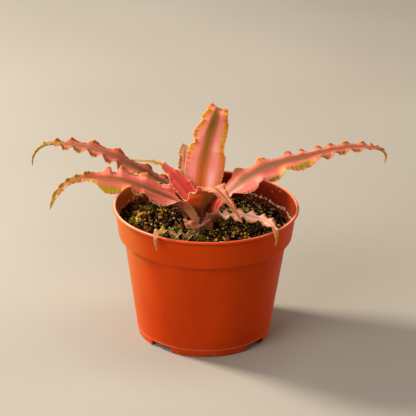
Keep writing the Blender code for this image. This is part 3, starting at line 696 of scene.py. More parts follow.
def make_grains(name, seed, spots, size, stretch, sink, finish):
    """Lumpy balls laid on the soil: ball * lumps * stretch * size, turned, then lifted to the surface.

    spots holds the places x and y, and may hold the height z as well where grains cling to the wall.
    sink is the share of its radius that each grain lies in the soil.
    """
    draw = np.random.default_rng(seed)
    x, y = spots[:2]
    surface = spots[2] if len(spots) == 3 else soil_height(x, y)
    count = len(x)
    corner = BALL[None] * draw.uniform(1 - LUMPS, 1 + LUMPS, (count, len(BALL), 1))
    corner = corner * draw.uniform(stretch, 1.0, (count, 1, 3))
    radius = size[0] * (size[1] / size[0]) ** (draw.beta(1.2, 2.2, count))
    corner = np.einsum("nij,nkj->nki", random_turns(draw, count), corner * radius[:, None, None])
    middle = np.stack([x, y, surface + radius * (1 - sink)], axis=-1)
    points = (corner + middle[:, None]).reshape(-1, 3)
    tone = np.repeat(draw.uniform(0, 1, count), len(BALL))
    make_piece(name, points, copied(BALL_FACES, len(BALL), count), finish, None, {"tone": tone})


CRUMB_STOPS = [(0.0, (0.002, 0.001, 0.001)), (0.60, (0.011, 0.005, 0.002)), (0.80, (0.080, 0.036, 0.013)),
               (0.92, (0.36, 0.18, 0.060)), (1.0, (1.0, 0.66, 0.24))]
GRIT_STOPS = [(0.0, (0.40, 0.19, 0.03)), (0.4, (0.95, 0.60, 0.03)), (0.7, (0.95, 0.42, 0.05)),
              (1.0, (1.0, 0.88, 0.50))]
PERLITE_STOPS = [(0.0, (0.56, 0.46, 0.32)), (1.0, (0.94, 0.84, 0.66))]
BARK_STOPS = [(0.0, (0.022, 0.010, 0.004)), (0.6, (0.085, 0.034, 0.011)), (1.0, (0.22, 0.095, 0.026))]

draws = np.random.default_rng(5)
crumb = mix_finish("crumbs_of_mix", CRUMB_STOPS, 0.85, 0.35)
make_grains("soil_crumbs_fine", 31, spread(draws, 9000), (0.3, 0.85), 0.55, 0.6, crumb)
make_grains("soil_crumbs", 32, spread(draws, 2000, 7.0, 46.6), (0.7, 1.5), 0.5, 0.7, crumb)
make_grains("soil_bark", 33, spread(draws, 240, 8.0, 45.0), (1.4, 3.4), 0.28, 0.72,
            mix_finish("bark_bits", BARK_STOPS, 0.8))
make_grains("soil_perlite", 34, spread(draws, 320, 7.0, 46.6), (0.3, 0.9), 0.6, 0.2,
            mix_finish("perlite", PERLITE_STOPS, 0.8))
make_grains("soil_grit", 35, spread(draws, 700, 7.0, 46.6), (0.3, 0.9), 0.6, 0.35,
            mix_finish("tan_and_gold_grit", GRIT_STOPS, 0.6))


def clustered(draw, centres, each, width):
    """Spots gathered round given centres, spread by a normal draw."""
    middle = np.repeat(np.array(centres, float), each, axis=0)
    x, y = (middle + draw.normal(scale=width, size=middle.shape)).T
    keep = np.hypot(x, y) < GRAIN_LIMIT
    return x[keep], y[keep]


GOLD_SPOTS = [(-38.5, 4.0), (-37.6, -8.0), (-26.0, 13.0), (-41.0, 8.0), (-35.0, 6.0), (-33.0, -2.0),
              (19.0, -14.0), (27.0, -8.0), (8.0, -27.0), (22.0, -22.0), (30.0, 10.0), (-6.0, -30.0)]
make_grains("soil_gold_clusters", 36, clustered(draws, GOLD_SPOTS, 15, 2.4), (0.5, 1.3), 0.6, 0.1,
            mix_finish("gold_grit", GRIT_STOPS, 0.5))
# gold grit lumps gathered on the left, also a painted highlight: they stand for the sunlit tops of crumbs
# there
LIT_GRIT_SPOTS = [(-38.0, 8.0), (-36.0, 5.0), (-39.0, 3.5), (-35.5, 1.5), (-24.5, 6.0), (-38.6, -2.0)]
make_grains("soil_bright_lumps", 39, clustered(draws, LIT_GRIT_SPOTS, 9, 1.5), (0.8, 1.8), 0.5, 0.0,
            mix_finish("lit_grit_lumps", GRIT_STOPS, 0.5))


def wall_spots(draw, count, first, last):
    """Spots on the inner wall between two angles: height = soil + (lime line - soil) * s, s weighted low."""
    turn = np.radians(draw.uniform(first, last, count))
    edge = SOIL_EDGE - 0.6
    low = soil_height(edge * np.cos(turn), edge * np.sin(turn))
    height = low + (LIME_MIDDLE - LIME_TILT * np.cos(turn) - low) * draw.beta(1.0, 2.6, count)
    radius = collar_radius(height) - 0.45
    return radius * np.cos(turn), radius * np.sin(turn), height - 0.3


LIME_MIDDLE, LIME_TILT = 67.6, 1.5
WALL_STOPS = [(0.0, (0.010, 0.007, 0.003)), (0.30, (0.030, 0.028, 0.008)), (0.50, (0.13, 0.12, 0.03)),
              (0.80, (0.42, 0.16, 0.10)), (1.0, (0.80, 0.42, 0.30))]
wall_mix = mix_finish("wall_crumbs", WALL_STOPS, 0.85, 0.4)
make_grains("wall_crumbs", 37, wall_spots(draws, 190, -20, 115), (0.3, 0.9), 0.55, 0.6, wall_mix)
make_grains("wall_crumbs_left", 38, wall_spots(draws, 260, 140, 205), (0.3, 0.9), 0.55, 0.6, crumb)

# %% [markdown]
# ### Moss and lime
# Moss stands in small tufts of pointed leaves, yellow green where the sun reaches them. Hard water leaves a
# chalky line of flakes on the wall, a little above the soil.


# %% Moss
def moss_finish():
    """Moss: olive at the foot of each leaf and yellow green at its tip."""
    finish, tree, shader = new_finish("moss_green", roughness=0.6)
    spot = millimetres(tree)
    tip = blend(fade(noise(spot, 0.25), 0.4, 0.62), (0.30, 0.30, 0.012), (0.80, 0.70, 0.03))
    give(shader, base_color=blend(mark(tree, "tone"), (0.055, 0.060, 0.006), tip))
    raise_bumps(shader, noise(spot, 4.0), 0.1)
    return finish


def make_moss(name, seed, centres, tufts, leaves, width, length):
    """Tufts of pointed leaves: each leaf is a bent three-sided spike with five corners."""
    draw = np.random.default_rng(seed)
    x, y = clustered(draw, centres, tufts, width)
    x, y = np.repeat(x, leaves), np.repeat(y, leaves)
    x = x + draw.normal(scale=0.7, size=x.shape)
    y = y + draw.normal(scale=0.7, size=y.shape)
    count = len(x)
    out = level(draw.uniform(0, 2 * math.pi, count))
    side, up = np.cross([0, 0, 1.0], out), np.array([0, 0, 1.0])
    lean = draw.uniform(0.15, 1.1, count)[:, None]
    tall = draw.uniform(*length, count)[:, None]
    thick = tall * draw.uniform(0.16, 0.26, count)[:, None]
    base = np.stack([x, y, soil_height(x, y) - 0.1], axis=-1)
    belly = base + (out * np.sin(lean) * 0.35 + up * 0.5) * tall
    tip = base + (out * np.sin(lean) + up * np.cos(lean)) * tall
    points = np.stack([base, belly + side * thick, belly - side * thick, belly - out * thick * 0.6, tip], 1)
    spike = np.array([(0, 1, 3), (0, 3, 2), (0, 2, 1), (4, 3, 1), (4, 2, 3), (4, 1, 2)])
    tone = np.tile([0.0, 0.5, 0.5, 0.4, 1.0], count) * np.repeat(draw.uniform(0.6, 1.0, count), 5)
    faces = copied(spike, points.shape[1], count)
    make_piece(name, points.reshape(-1, 3), faces, moss_finish(), None, {"tone": tone})


MOSS_SPOTS = [(-34.8, 19.5), (-33.6, 20.5), (-40.0, -6.0), (-38.4, -8.6), (2.0, 26.0), (8.0, 25.0),
              (14.0, 19.0), (18.0, 11.0), (10.0, 2.0), (17.0, -6.0), (24.0, 4.0), (7.0, 13.0),
              (-2.0, 34.0), (-20.0, 28.0), (-4.2, -16.5), (-4.6, -20.0), (-5.2, -23.0), (-6.4, -26.0),
              (-2.0, -26.0), (20.0, 24.0)]
make_moss("moss_tufts", 41, MOSS_SPOTS, 9, 18, 1.5, (0.8, 2.2))

# %% Lime on the wall
CHALK_STOPS = [(0.0, (0.44, 0.30, 0.20)), (0.5, (0.95, 0.84, 0.68)), (1.0, (1.0, 0.95, 0.85))]
# Stretches of the wall: from one angle to another in degrees, and how many flakes lie there.
LIME_STRETCHES = [(-10, 78, 480), (78, 140, 70), (140, 190, 90)]


def make_lime():
    """Chalky flakes on the collar's inner wall, close to a line that drops from left to right."""
    draw = np.random.default_rng(51)
    turn = np.radians(np.concatenate([draw.uniform(*stretch) for stretch in LIME_STRETCHES]))
    count = len(turn)
    turn = turn + 0.035 * np.sin(turn * 40.0)
    wander = 0.6 * np.sin(turn * 7.0) + 0.5 * np.sin(turn * 17.0 + 1.0)
    height = LIME_MIDDLE - LIME_TILT * np.cos(turn) + wander + draw.normal(scale=0.38, size=count)
    middle = level(turn) * (collar_radius(height) - 0.12)[:, None] + [0, 0, 1] * height[:, None]
    size = 0.13 + 0.55 * draw.beta(1.0, 3.4, count)[:, None, None]
    inward = -level(turn)[:, None]
    corner = BALL[None] * draw.uniform(0.7, 1.2, (count, len(BALL), 1)) * size
    corner = corner - inward * (corner @ inward.transpose(0, 2, 1)) * 0.6
    points = (corner + middle[:, None]).reshape(-1, 3)
    chalk = mix_finish("lime_flakes", CHALK_STOPS)
    tone = np.repeat(draw.uniform(0, 1, count), len(BALL))
    make_piece("wall_lime", points, copied(BALL_FACES, len(BALL), count), chalk, None, {"tone": tone})


make_lime()

# %% [markdown]
# ## Leaves
# Each leaf is a long blade that bends down at its tip. Its middle line is a smooth curve through a few
# points. Across it, the blade is lifted by a cup angle, and its margins swing up and down in waves whose
# crests are narrower than their troughs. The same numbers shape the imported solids, so the finer blades lie
# where those lie. They add what a solid of 0.8 mm can't have: a thin margin with forward-pointing teeth,
# a shallow channel along the middle, and small crinkles between the waves.

# %% The numbers of each leaf
# azimuth: the direction it grows in, in degrees. midrib: points of its middle line. half, roll, cup, wave and
# skew: curves over its length, from 0 at the base to 1 at the tip, for the half width, the turn about the
# middle line, how far the sides rise, the height of the waves and how much wider the right side is. lobe:
# how much the crests narrow the left and the right side. left and right: places of crests and troughs.
LEAVES = {
    "leaf_left_upper": dict(
        azimuth=165,
        midrib=[(-6.6, 0.2, 70), (-8.9, 1.2, 74.5), (-12.9, 2.8, 79.2), (-19.2, 6, 83.7), (-27.4, 10, 87.5),
            (-40.5, 13.5, 93.4), (-55.2, 17.5, 99.3), (-69.8, 21.5, 101.9), (-85.3, 25, 102),
            (-92.5, 26, 100.5), (-97.2, 27, 96.5), (-99.3, 27, 92), (-99.6, 27, 87.5)],
        half=[(0, 2.2), (0.12, 4.4), (0.25, 6.2), (0.38, 8.4), (0.47, 7), (0.6, 5.6), (0.73, 4.5),
            (0.79, 3.2), (0.83, 1.8), (0.92, 1.2), (1, 0.35)],
        roll=[(0, 0), (0.25, 6), (0.45, 14), (0.7, 18), (0.85, 10), (1, 0)],
        cup=[(0, 40), (0.2, 15), (0.4, 2), (0.76, 4), (0.84, 50), (1, 75)],
        wave=[(0, 0), (0.12, 0.6), (0.35, 1.5), (0.6, 1.5), (0.76, 1.4), (0.83, 0.5), (0.9, 0.2), (1, 0)],
        skew=[(0, 0), (0.25, -0.05), (0.36, -0.27), (0.45, -0.22), (0.52, -0.05), (0.6, 0), (1, 0)],
        lobe=(0.24, -0.1),
        left=[3, 9, 15, 20, 25, 30.5, 41, 50, 54.8, 59.3, 64, 68.5, 73.3, 77.8, 82.4, 86.5, 90, 92.5, 95, 97],
        right=[14, 21, 28, 33, 38, 48, 57.5, 64.5, 72, 78.5, 85, 89, 93, 96.5, 100, 103]),
    "leaf_left_lower": dict(
        azimuth=197,
        midrib=[(-6.3, -5.7, 68.2), (-8.1, -7.4, 72.2), (-11.2, -9.3, 77.8), (-15.5, -11.8, 83),
            (-21.7, -14, 87.2), (-28.8, -16, 91), (-42.8, -18, 97.2), (-56.6, -20, 99.9), (-68.4, -22, 100.6),
            (-74.5, -22, 98.6), (-79.5, -23, 94.5), (-83, -24, 89.9), (-85.5, -24, 82.5)],
        half=[(0, 3.2), (0.12, 5.2), (0.3, 9), (0.43, 8.6), (0.52, 9.6), (0.6, 9), (0.66, 6), (0.71, 3.4),
            (0.78, 2.1), (0.9, 1.6), (1, 0.35)],
        roll=[(0, -15), (0.1, -18), (0.25, 12), (0.35, 20), (0.62, 18), (0.72, 28), (0.82, 46), (1, 55)],
        cup=[(0, 45), (0.15, 40), (0.28, 5), (0.4, -8), (0.6, -12), (0.72, 8), (1, 20)],
        wave=[(0, 0), (0.12, 0.7), (0.3, 1.6), (0.62, 1.9), (0.7, 0.9), (0.85, 0.45), (1, 0)],
        skew=[(0, -0.15), (0.12, -0.17), (0.3, 0.12), (0.43, 0.35), (0.48, 0.42), (0.54, 0.1), (0.7, 0),
            (1, 0)],
        lobe=(0.12, -0.08),
        left=[21, 31.5, 40.5, 44.5, 49, 60, 72, 80, 87, 91],
        right=[24, 31, 40, 47, 53.8, 57, 60.5, 66.5, 74.2, 76.7, 79.1, 81.4, 83.6, 86, 88, 91]),
    "leaf_right": dict(
        azimuth=4,
        midrib=[(4, -1.8, 69), (6, -1.9, 74.2), (9.5, -1.5, 80.5), (15.6, 0, 87), (20.6, 1, 91.2),
            (30.6, 3, 97.4), (44, 4, 102.5), (60.7, 4, 107.2), (72, 4, 110.2), (82, 4, 111.8),
            (90.4, 3, 112.2), (95.5, 3, 111.2), (98.3, 3, 109.5), (99.5, 3, 106.9), (99.5, 3, 104.6),
            (99, 3, 102.6)],
        half=[(0, 2.8), (0.12, 6.4), (0.25, 9.5), (0.4, 9.3), (0.5, 7.8), (0.62, 6), (0.75, 4.2), (0.84, 3.3),
            (0.89, 1.9), (0.94, 1.3), (1, 0.35)],
        roll=[(0, 0), (0.15, -15), (0.3, -24), (0.4, -21), (0.55, -18), (0.8, -18), (0.9, -8), (1, 0)],
        cup=[(0, 28), (0.15, 20), (0.27, -5), (0.4, -18), (0.55, -18), (0.68, -2), (0.85, 5), (0.92, 55),
            (1, 75)],
        wave=[(0, 0), (0.12, 0.9), (0.25, 1.9), (0.5, 1.8), (0.65, 1.3), (0.84, 1.1), (0.9, 0.5), (1, 0)],
        skew=[(0, -0.3), (0.1, 0), (1, 0)],
        lobe=(-0.08, 0.1),
        left=[14, 20, 28.8, 36, 41.5, 50, 57, 60.5, 64, 69, 73.9, 77, 80.4, 84.5, 89, 94, 98.5, 101, 103.3,
            105],
        right=[20, 28, 38, 46, 54, 65, 75, 79, 83, 87, 91.5, 96, 100.6, 104]),
    "leaf_upright": dict(
        azimuth=86,
        midrib=[(-1.9, 2.3, 73.6), (-2.6, 5, 76.6), (-3.2, 7.2, 80.6), (-3.2, 9, 87.2), (-1.5, 12, 100.4),
            (1.5, 16, 112.1), (3.8, 19.5, 119.3), (5.3, 22.9, 123), (6.2, 27, 124.2), (6.4, 32, 122.4),
            (6.2, 36.5, 118.5), (6, 40, 112.5), (5.8, 42, 107)],
        half=[(0, 2.2), (0.06, 5), (0.15, 10), (0.25, 11.1), (0.36, 10.8), (0.43, 9.7), (0.5, 9.3),
            (0.55, 8.8), (0.6, 8.1), (0.64, 7), (0.71, 5.9), (0.85, 3.4), (1, 0.5)],
        cup=[(0, 35), (0.08, 12), (0.15, 2), (0.4, 4), (1, 6)],
        wave=[(0, 0), (0.15, 0.8), (0.45, 1.6), (0.65, 1.5), (0.9, 0.8), (1, 0)],
        skew=[(0, 0), (0.15, 0.14), (0.25, 0.11), (0.37, 0.1), (0.43, 0.07), (0.5, 0.02), (0.6, 0.04),
            (0.64, 0), (0.7, 0), (1, 0)],
        lobe=(0.2, 0.08),
        left=[8, 33.5, 36.4, 41, 49, 51, 55, 58, 60.5, 63, 67],
        right=[10, 31, 34, 52, 56.2, 60.5, 63, 67]),
    "leaf_young_left": dict(
        azimuth=155,
        midrib=[(-4.75, 0.05, 75.6), (-7.6, 0.6, 80.4), (-12.3, 2.4, 86.3), (-16.2, 4.6, 90.8), (-20, 7, 94),
            (-24.5, 9.5, 96.4), (-29.1, 12, 97.2), (-33.7, 14, 97.1), (-38.8, 15, 96.9), (-43.9, 16, 97)],
        half=[(0, 2.2), (0.15, 5), (0.3, 5.2), (0.45, 3.6), (0.6, 1.9), (0.8, 1), (1, 0.4)],
        roll=[(0, 20), (0.3, 35), (0.6, 20), (1, 0)],
        cup=[(0, 40), (0.3, 18), (0.6, 10), (1, 8)],
        wave=[(0, 0), (0.2, 0.5), (0.5, 0.9), (0.8, 0.3), (1, 0)],
        skew=[(0, -0.2), (0.5, -0.2), (1, 0)],
        left=[5, 9, 13, 18, 23, 27, 31],
        right=[6, 10, 14.5, 19, 23, 27, 31]),
    "leaf_behind": dict(
        azimuth=118,
        midrib=[(-3.4, 3.3, 72.2), (-5.4, 8.6, 76.8), (-8.6, 13.4, 84.4), (-10.9, 16.5, 91),
            (-12, 19.5, 96.4), (-12.3, 22.8, 100), (-12.2, 27, 101.6), (-12.4, 30.5, 100)],
        half=[(0, 1.5), (0.2, 3.4), (0.5, 5.2), (0.7, 4.4), (0.9, 2), (1, 0.5)],
        cup=[(0, 40), (0.3, 15), (1, 8)],
        wave=[(0, 0), (0.2, 0.5), (0.6, 1.2), (0.9, 0.6), (1, 0)],
        left=[7, 11, 15, 19, 23, 27, 31],
        right=[5, 9, 13, 17, 21, 25]),
    "leaf_front": dict(
        azimuth=292,
        midrib=[(-0.9, -6.4, 72.2), (-0.7, -8.8, 78.5), (0.1, -12, 85.6), (1.4, -15.5, 91.4), (3, -19, 95),
            (5, -22.3, 96), (7.8, -25.7, 94.9), (10.7, -28.8, 93), (14.2, -32.5, 90.2), (17, -36, 87.2),
            (19.8, -40, 83.6)],
        half=[(0, 2.8), (0.1, 7.4), (0.2, 11.5), (0.3, 11), (0.38, 9.6), (0.5, 7.2), (0.62, 4.4), (0.75, 2.4),
            (0.88, 1.2), (1, 0.4)],
        cup=[(0, 32), (0.15, 26), (0.35, 5), (1, 10)],
        wave=[(0, 0), (0.15, 0.9), (0.35, 1.6), (0.5, 1.1), (0.62, 0.45), (1, 0)],
        left=[8, 13, 18, 23, 28, 32, 36, 40, 44],
        right=[11, 15.5, 20, 23.5, 27, 31, 35, 39, 43]),
    "leaf_front_right": dict(
        azimuth=318,
        midrib=[(1.2, -6.8, 67), (3.4, -8.8, 71.2), (7, -11.6, 74.6), (11.3, -14.7, 76.9),
            (16.7, -18.5, 78.9), (22.4, -23, 80.5), (28.1, -28, 81.4), (32.9, -32.5, 81.7),
            (36.4, -36.5, 80.8), (38.5, -39.7, 78.3), (39, -41.3, 74.9), (38.2, -41.7, 71.3)],
        half=[(0, 2.4), (0.15, 5.3), (0.35, 5.8), (0.5, 5.3), (0.7, 4.3), (0.78, 3.1), (0.84, 1.7), (0.91, 1),
            (1, 0.35)],
        roll=[(0, 22), (0.2, 18), (0.35, -4), (1, 0)],
        cup=[(0, 45), (0.2, 35), (0.4, 0), (1, 5)],
        wave=[(0, 0), (0.1, 0.9), (0.25, 1.7), (0.6, 1.3), (0.85, 0.7), (1, 0)],
        left=[12, 17, 22, 27, 31, 35.5, 40, 43, 46, 50, 54],
        right=[7, 11, 15.5, 19.5, 24.5, 28.5, 32.5, 38, 44, 48, 52]),
    "leaf_front_left": dict(
        azimuth=238,
        midrib=[(-3.2, -6.9, 66.7), (-3.6, -11, 67.2), (-4.2, -17, 68.3), (-5.2, -23, 69.6),
            (-7.8, -28.5, 70.8), (-11.2, -32.5, 72.2), (-15.5, -36.3, 74.3), (-19.8, -40.2, 77),
            (-23.5, -44.2, 79.6), (-26, -47.4, 80.2), (-26.9, -49.4, 77.2), (-26.7, -50, 74),
            (-25.8, -50.2, 71)],
        half=[(0, 1.1), (0.2, 1.2), (0.3, 1.9), (0.44, 4.2), (0.6, 4.9), (0.74, 4.2), (0.82, 2), (0.9, 0.9),
            (1, 0.3)],
        roll=[(0, 0), (0.35, 8), (0.6, 9), (0.75, 3), (1, 0)],
        cup=[(0, 20), (0.3, 10), (1, 6)],
        wave=[(0, 0), (0.25, 0.2), (0.4, 1.3), (0.6, 2.4), (0.75, 1.5), (0.85, 0.4), (1, 0)],
        skew=[(0, 0), (0.3, -0.1), (0.6, -0.2), (0.8, 0), (1, 0)],
        left=[18.5, 23.5, 27.5, 32, 36.7, 41.7, 46.7, 50.5, 54],
        right=[21, 25, 28.5, 31.7, 35, 38.5, 42, 46, 49.5, 53, 56]),
    "leaf_back": dict(
        azimuth=90,
        midrib=[(-1.4, 3.6, 67.4), (-1.4, 7.2, 70.4), (-1.2, 12, 75.2), (-1, 18, 81), (-0.6, 25, 86.4),
            (-0.2, 32, 89.4), (0, 39, 89.6), (0.3, 45.5, 87.4), (0.5, 50, 83), (0.7, 52.2, 79)],
        half=[(0, 2.2), (0.12, 4.6), (0.4, 7.6), (0.6, 6.8), (0.8, 4.2), (1, 0.4)],
        cup=[(0, 40), (0.2, 18), (0.4, 6), (1, 6)],
        wave=[(0, 0), (0.15, 0.8), (0.5, 1.6), (0.8, 1.2), (1, 0)],
        left=[8, 14, 20, 26, 32, 38, 44, 49, 54],
        right=[11, 17, 23, 29, 35, 41, 47, 52, 57]),
    "leaf_old_stub": dict(
        azimuth=205,
        midrib=[(-7.4, -1.4, 66.8), (-10.4, -2.4, 70), (-13.2, -4, 74), (-15.8, -5.8, 78),
            (-17.6, -7.4, 81.3)],
        half=[(0, 1.6), (0.4, 2.8), (0.8, 2), (1, 0.5)],
        roll=[(0, -20), (1, -10)],
        cup=[(0, 30), (1, 10)],
        wave=[(0, 0), (0.4, 0.4), (1, 0)],
        left=[3, 6, 9, 12, 15],
        right=[4, 7, 10, 13]),
}

# %% [markdown]
# ### The shape of a blade
# The middle line is a cubic through the points. A side direction is carried along it without twist, then
# rolled. A point of the blade is the middle line, plus a step out along the side direction, plus a lift
# along the blade's normal.


# %% Lines and curves
def hermite(a, span, start, end, slope_start, slope_end):
    """The cubic from start to end with given slopes there, over a span, where a goes from 0 to 1."""
    first = (2 * a**3 - 3 * a**2 + 1) * start + (a**3 - 2 * a**2 + a) * span * slope_start
    return first + ((-2 * a**3 + 3 * a**2) * end + (a**3 - a**2) * span * slope_end)


def through(x, pairs):
    """Smooth curve through (place, value) pairs that never overshoots them: a monotone cubic."""
    place, value = (np.array(row, float) for row in zip(*pairs))
    slope = np.diff(value) / np.diff(place)
    first, second = slope[:-1], slope[1:]
    same = first * second > 0
    total = np.where(same, first + second, 1.0)
    tangent = np.concatenate([[slope[0]], np.where(same, 2 * first * second / total, 0.0), [slope[-1]]])
    k = np.clip(np.searchsorted(place, x, side="right") - 1, 0, len(place) - 2)
    span = place[k + 1] - place[k]
    a = np.clip((x - place[k]) / span, 0.0, 1.0)
    return hermite(a, span, value[k], value[k + 1], tangent[k], tangent[k + 1])


def middle_line(points, spacing):
    """A smooth line through points, sampled evenly. Gives its points and their distance from the base."""
    points = np.array(points, float)
    place = np.concatenate([[0.0], np.cumsum(np.linalg.norm(np.diff(points, axis=0), axis=1))])
    tangent = np.zeros_like(points)
    tangent[1:-1] = (points[2:] - points[:-2]) / (place[2:] - place[:-2])[:, None]
    tangent[0] = (points[1] - points[0]) / (place[1] - place[0]) * 1.5 - tangent[1] * 0.5
    tangent[-1] = (points[-1] - points[-2]) / (place[-1] - place[-2]) * 1.5 - tangent[-2] * 0.5
    fine = np.linspace(0.0, place[-1], 40 * len(points))
    k = np.clip(np.searchsorted(place, fine, side="right") - 1, 0, len(points) - 2)
    span = (place[k + 1] - place[k])[:, None]
    a = ((fine - place[k]) / span[:, 0])[:, None]
    line = hermite(a, span, points[k], points[k + 1], tangent[k], tangent[k + 1])
    run = np.concatenate([[0.0], np.cumsum(np.linalg.norm(np.diff(line, axis=0), axis=1))])
    even = np.linspace(0.0, run[-1], int(run[-1] / spacing) + 2)
    return np.stack([np.interp(even, run, line[:, axis]) for axis in range(3)], axis=1), even


def margin_wave(run, turns):
    """+1 at the crests and -1 at the troughs: 2*((1+cos)/2)^1.9 - 1, so that crests are the narrower."""
    more = 20                 # waves past either end, as long as the last ones
    turns = np.array(turns, float)
    before = turns[0] - more * (turns[1] - turns[0])
    beyond = turns[-1] + more * (turns[-1] - turns[-2])
    place = np.concatenate([[before], turns, [beyond]])
    number = np.concatenate([[-more], np.arange(len(turns)), [len(turns) - 1 + more]])
    swing = np.cos(math.pi * np.interp(run, place, number))
    return 2.0 * ((1.0 + swing) / 2.0) ** 1.9 - 1.0


def teeth(run, pitch, seed):
    """Height of forward-pointing teeth, 0 to 1: a slow rise (t/0.72)^1.6, then a quick fall."""
    peak = 0.72
    draw = np.random.default_rng(seed)
    count = int(run[-1] / pitch) + 3
    knots = np.cumsum(draw.uniform(0.75, 1.25, count) * pitch)
    size = draw.uniform(0.45, 1.0, count)
    number = np.interp(run, np.concatenate([[0.0], knots]), np.arange(count + 1))
    which = np.minimum(number.astype(int), count - 1)
    t = number - which
    return np.where(t < peak, (t / peak) ** 1.6, np.clip((1 - t) / (1 - peak), 0, 1)) * size[which]


# %% One blade
SPACING = 0.2                 # between stations, in millimetres
STRIPS = 26                   # across one face
THICK, THIN = 0.8, 0.28       # at the middle and at the margin
TOOTH, PITCH = 0.75, 1.75     # the length of the longest teeth, and from one to the next
CHANNEL_DEPTH, CHANNEL_WIDTH = 0.35, 1.3
CRINKLE = 0.22                # height of the fine crinkles between the waves
CUP_SHARE = 0.75              # how much of the cup angle the finer blade takes
STRAIGHT = [(0, 0), (1, 0)]   # a curve that stays at 0


def blade(leaf, seed, glow=(), tints=()):
    """Points of a closed blade, as a grid of stations by places round the section, with its marks.

    v goes from -1 at the left margin to 1 at the right one. The step out is the half width * v * cosine
    of the cup angle, plus the teeth. The lift is the half width * sine of the cup angle, plus wave * v^2,
    plus fine crinkles * v^4, less a channel along the middle. The two faces stand half the thickness
    above and below this surface. glow lists places (run, side, reach) that shine yellow green: each adds
    exp(-((run - place) / reach)^2) on its side. tints lists soft patches of another colour, some of them
    painted highlights and painted shade, each as (run, v, reach along, reach across, face, colour,
    strength), where face is 0 above and 1 below.
    """
    line, run = middle_line(leaf["midrib"], SPACING)
    ahead = np.gradient(line, run, axis=0)
    ahead /= np.linalg.norm(ahead, axis=1)[:, None]
    turn = math.radians(leaf["azimuth"])
    side = np.zeros_like(line)
    before = np.array([math.sin(turn), -math.cos(turn), 0.0])
    for k in range(len(line)):
        square = before - (before @ ahead[k]) * ahead[k]
        side[k] = before = square / np.linalg.norm(square)
    upper = np.cross(side, ahead)
    share = run / run[-1]
    roll = np.radians(through(share, leaf.get("roll", STRAIGHT)))[:, None]
    side = side * np.cos(roll) + upper * np.sin(roll)
    normal = np.cross(side, ahead)
    v = np.sin(np.linspace(-1, 1, STRIPS + 1) * math.pi / 2)[None]
    v = 0.65 * v + 0.35 * np.linspace(-1, 1, STRIPS + 1)[None]
    far = np.abs(v)

    def by_side(left, right):
        """One number for each station left of the middle line, and another right of it."""
        return np.where(v < 0, left[:, None], right[:, None])

    swing = by_side(margin_wave(run, leaf["left"]), margin_wave(run, leaf["right"]))
    skew = through(share, leaf.get("skew", STRAIGHT))[:, None]
    width = through(share, leaf["half"])[:, None] * (1 + skew * v)
    lobe = np.where(v < 0, *leaf.get("lobe", (0.0, 0.0)))
    width = width * (1.0 - lobe * (1.0 + swing) / 2.0 * far)
    angle = np.radians(through(share, leaf["cup"]))[:, None] * far * CUP_SHARE
    ends = np.clip(share * 14, 0, 1)[:, None] * np.clip((1 - share) * 12, 0, 1)[:, None]
    pitch = leaf.get("pitch", PITCH)
    spine = by_side(teeth(run, pitch, seed), teeth(run, pitch, seed + 1)) * ends
    at_edge = np.clip((far - 0.94) / 0.06, 0, 1)
    spine = spine * (1.1 - 0.7 * share[:, None])
    out = np.sign(v) * (width * far * np.cos(angle) + spine * TOOTH * at_edge)
    crinkle = np.sin(run * 2.1 + 0.7 * seed + 1.4 * np.sin(run * 0.43))[:, None] * np.sign(v)
    channel = CHANNEL_DEPTH * np.exp(-(width * v / CHANNEL_WIDTH) ** 2)
    lift = width * far * np.sin(angle) + through(share, leaf["wave"])[:, None] * swing * far**2
    lift = lift + CRINKLE * crinkle * far**4 * ends - channel * ends
    middle = line[:, None] + side[:, None] * out[..., None] + normal[:, None] * lift[..., None]
    middle = middle + ahead[:, None] * (spine * TOOTH * 0.7 * at_edge)[..., None]
    facing = np.cross(np.gradient(middle, axis=1), np.gradient(middle, axis=0))
    facing /= np.linalg.norm(facing, axis=2)[..., None]
    thin = (THICK - (THICK - THIN) * far**2.5) * (1 - 0.55 * spine * at_edge)
    thin = thin * np.clip(0.45 + (1 - share[:, None]) * 8, 0, 1)
    half = facing * thin[..., None] / 2
    points = np.concatenate([middle + half, (middle - half)[:, ::-1]], axis=1)

    def both(values):
        """The same number for the two faces."""
        values = np.broadcast_to(values, middle.shape[:2])
        return np.concatenate([values, values[:, ::-1]], axis=1)

    under = np.concatenate([np.zeros(middle.shape[:2]), np.ones(middle.shape[:2])], axis=1)
    sun = sum((np.exp(-((run[:, None] - at) / reach) ** 2) * (v * which > 0) for at, which, reach in glow),
              np.zeros(middle.shape[:2]))
    marks = {
        "leaf_place": np.stack([both(width * v), both(run[:, None]), under], -1).reshape(-1, 3),
        "leaf_share": np.stack([both(far), both(share[:, None]), both(0.5 + 0.5 * swing)], -1).reshape(-1, 3),
        "leaf_edge": np.stack([both(width * (1 - far)), both(spine * at_edge), both(sun)], -1).reshape(-1, 3)}
    tint, cover = np.zeros((*under.shape, 3)), np.zeros(under.shape)
    for at, off, reach_along, reach_across, face, colour, strength in tints:
        near = np.exp(-((run[:, None] - at) / reach_along) ** 2 - ((v - off) / reach_across) ** 2)
        near = both(near) * (under == face) * strength
        tint = tint * (1 - near[..., None]) + near[..., None] * colour
        cover = cover * (1 - near) + near
    marks["leaf_tint"] = (tint / np.maximum(cover, 1e-6)[..., None]).reshape(-1, 3)
    marks["leaf_cover"] = cover.ravel()
    return points, marks


def blade_faces(rows):
    """Quads round the section, and a strip of quads that closes each end."""
    columns = 2 * (STRIPS + 1)
    j = np.arange(STRIPS)
    k = columns - 1 - j
    last = (rows - 1) * columns
    base = np.stack([j, k, k - 1, j + 1], axis=1)
    tip = np.stack([j, j + 1, k - 1, k], axis=1) + last
    return [grid_quads(rows, columns, closed=True), base, tip]
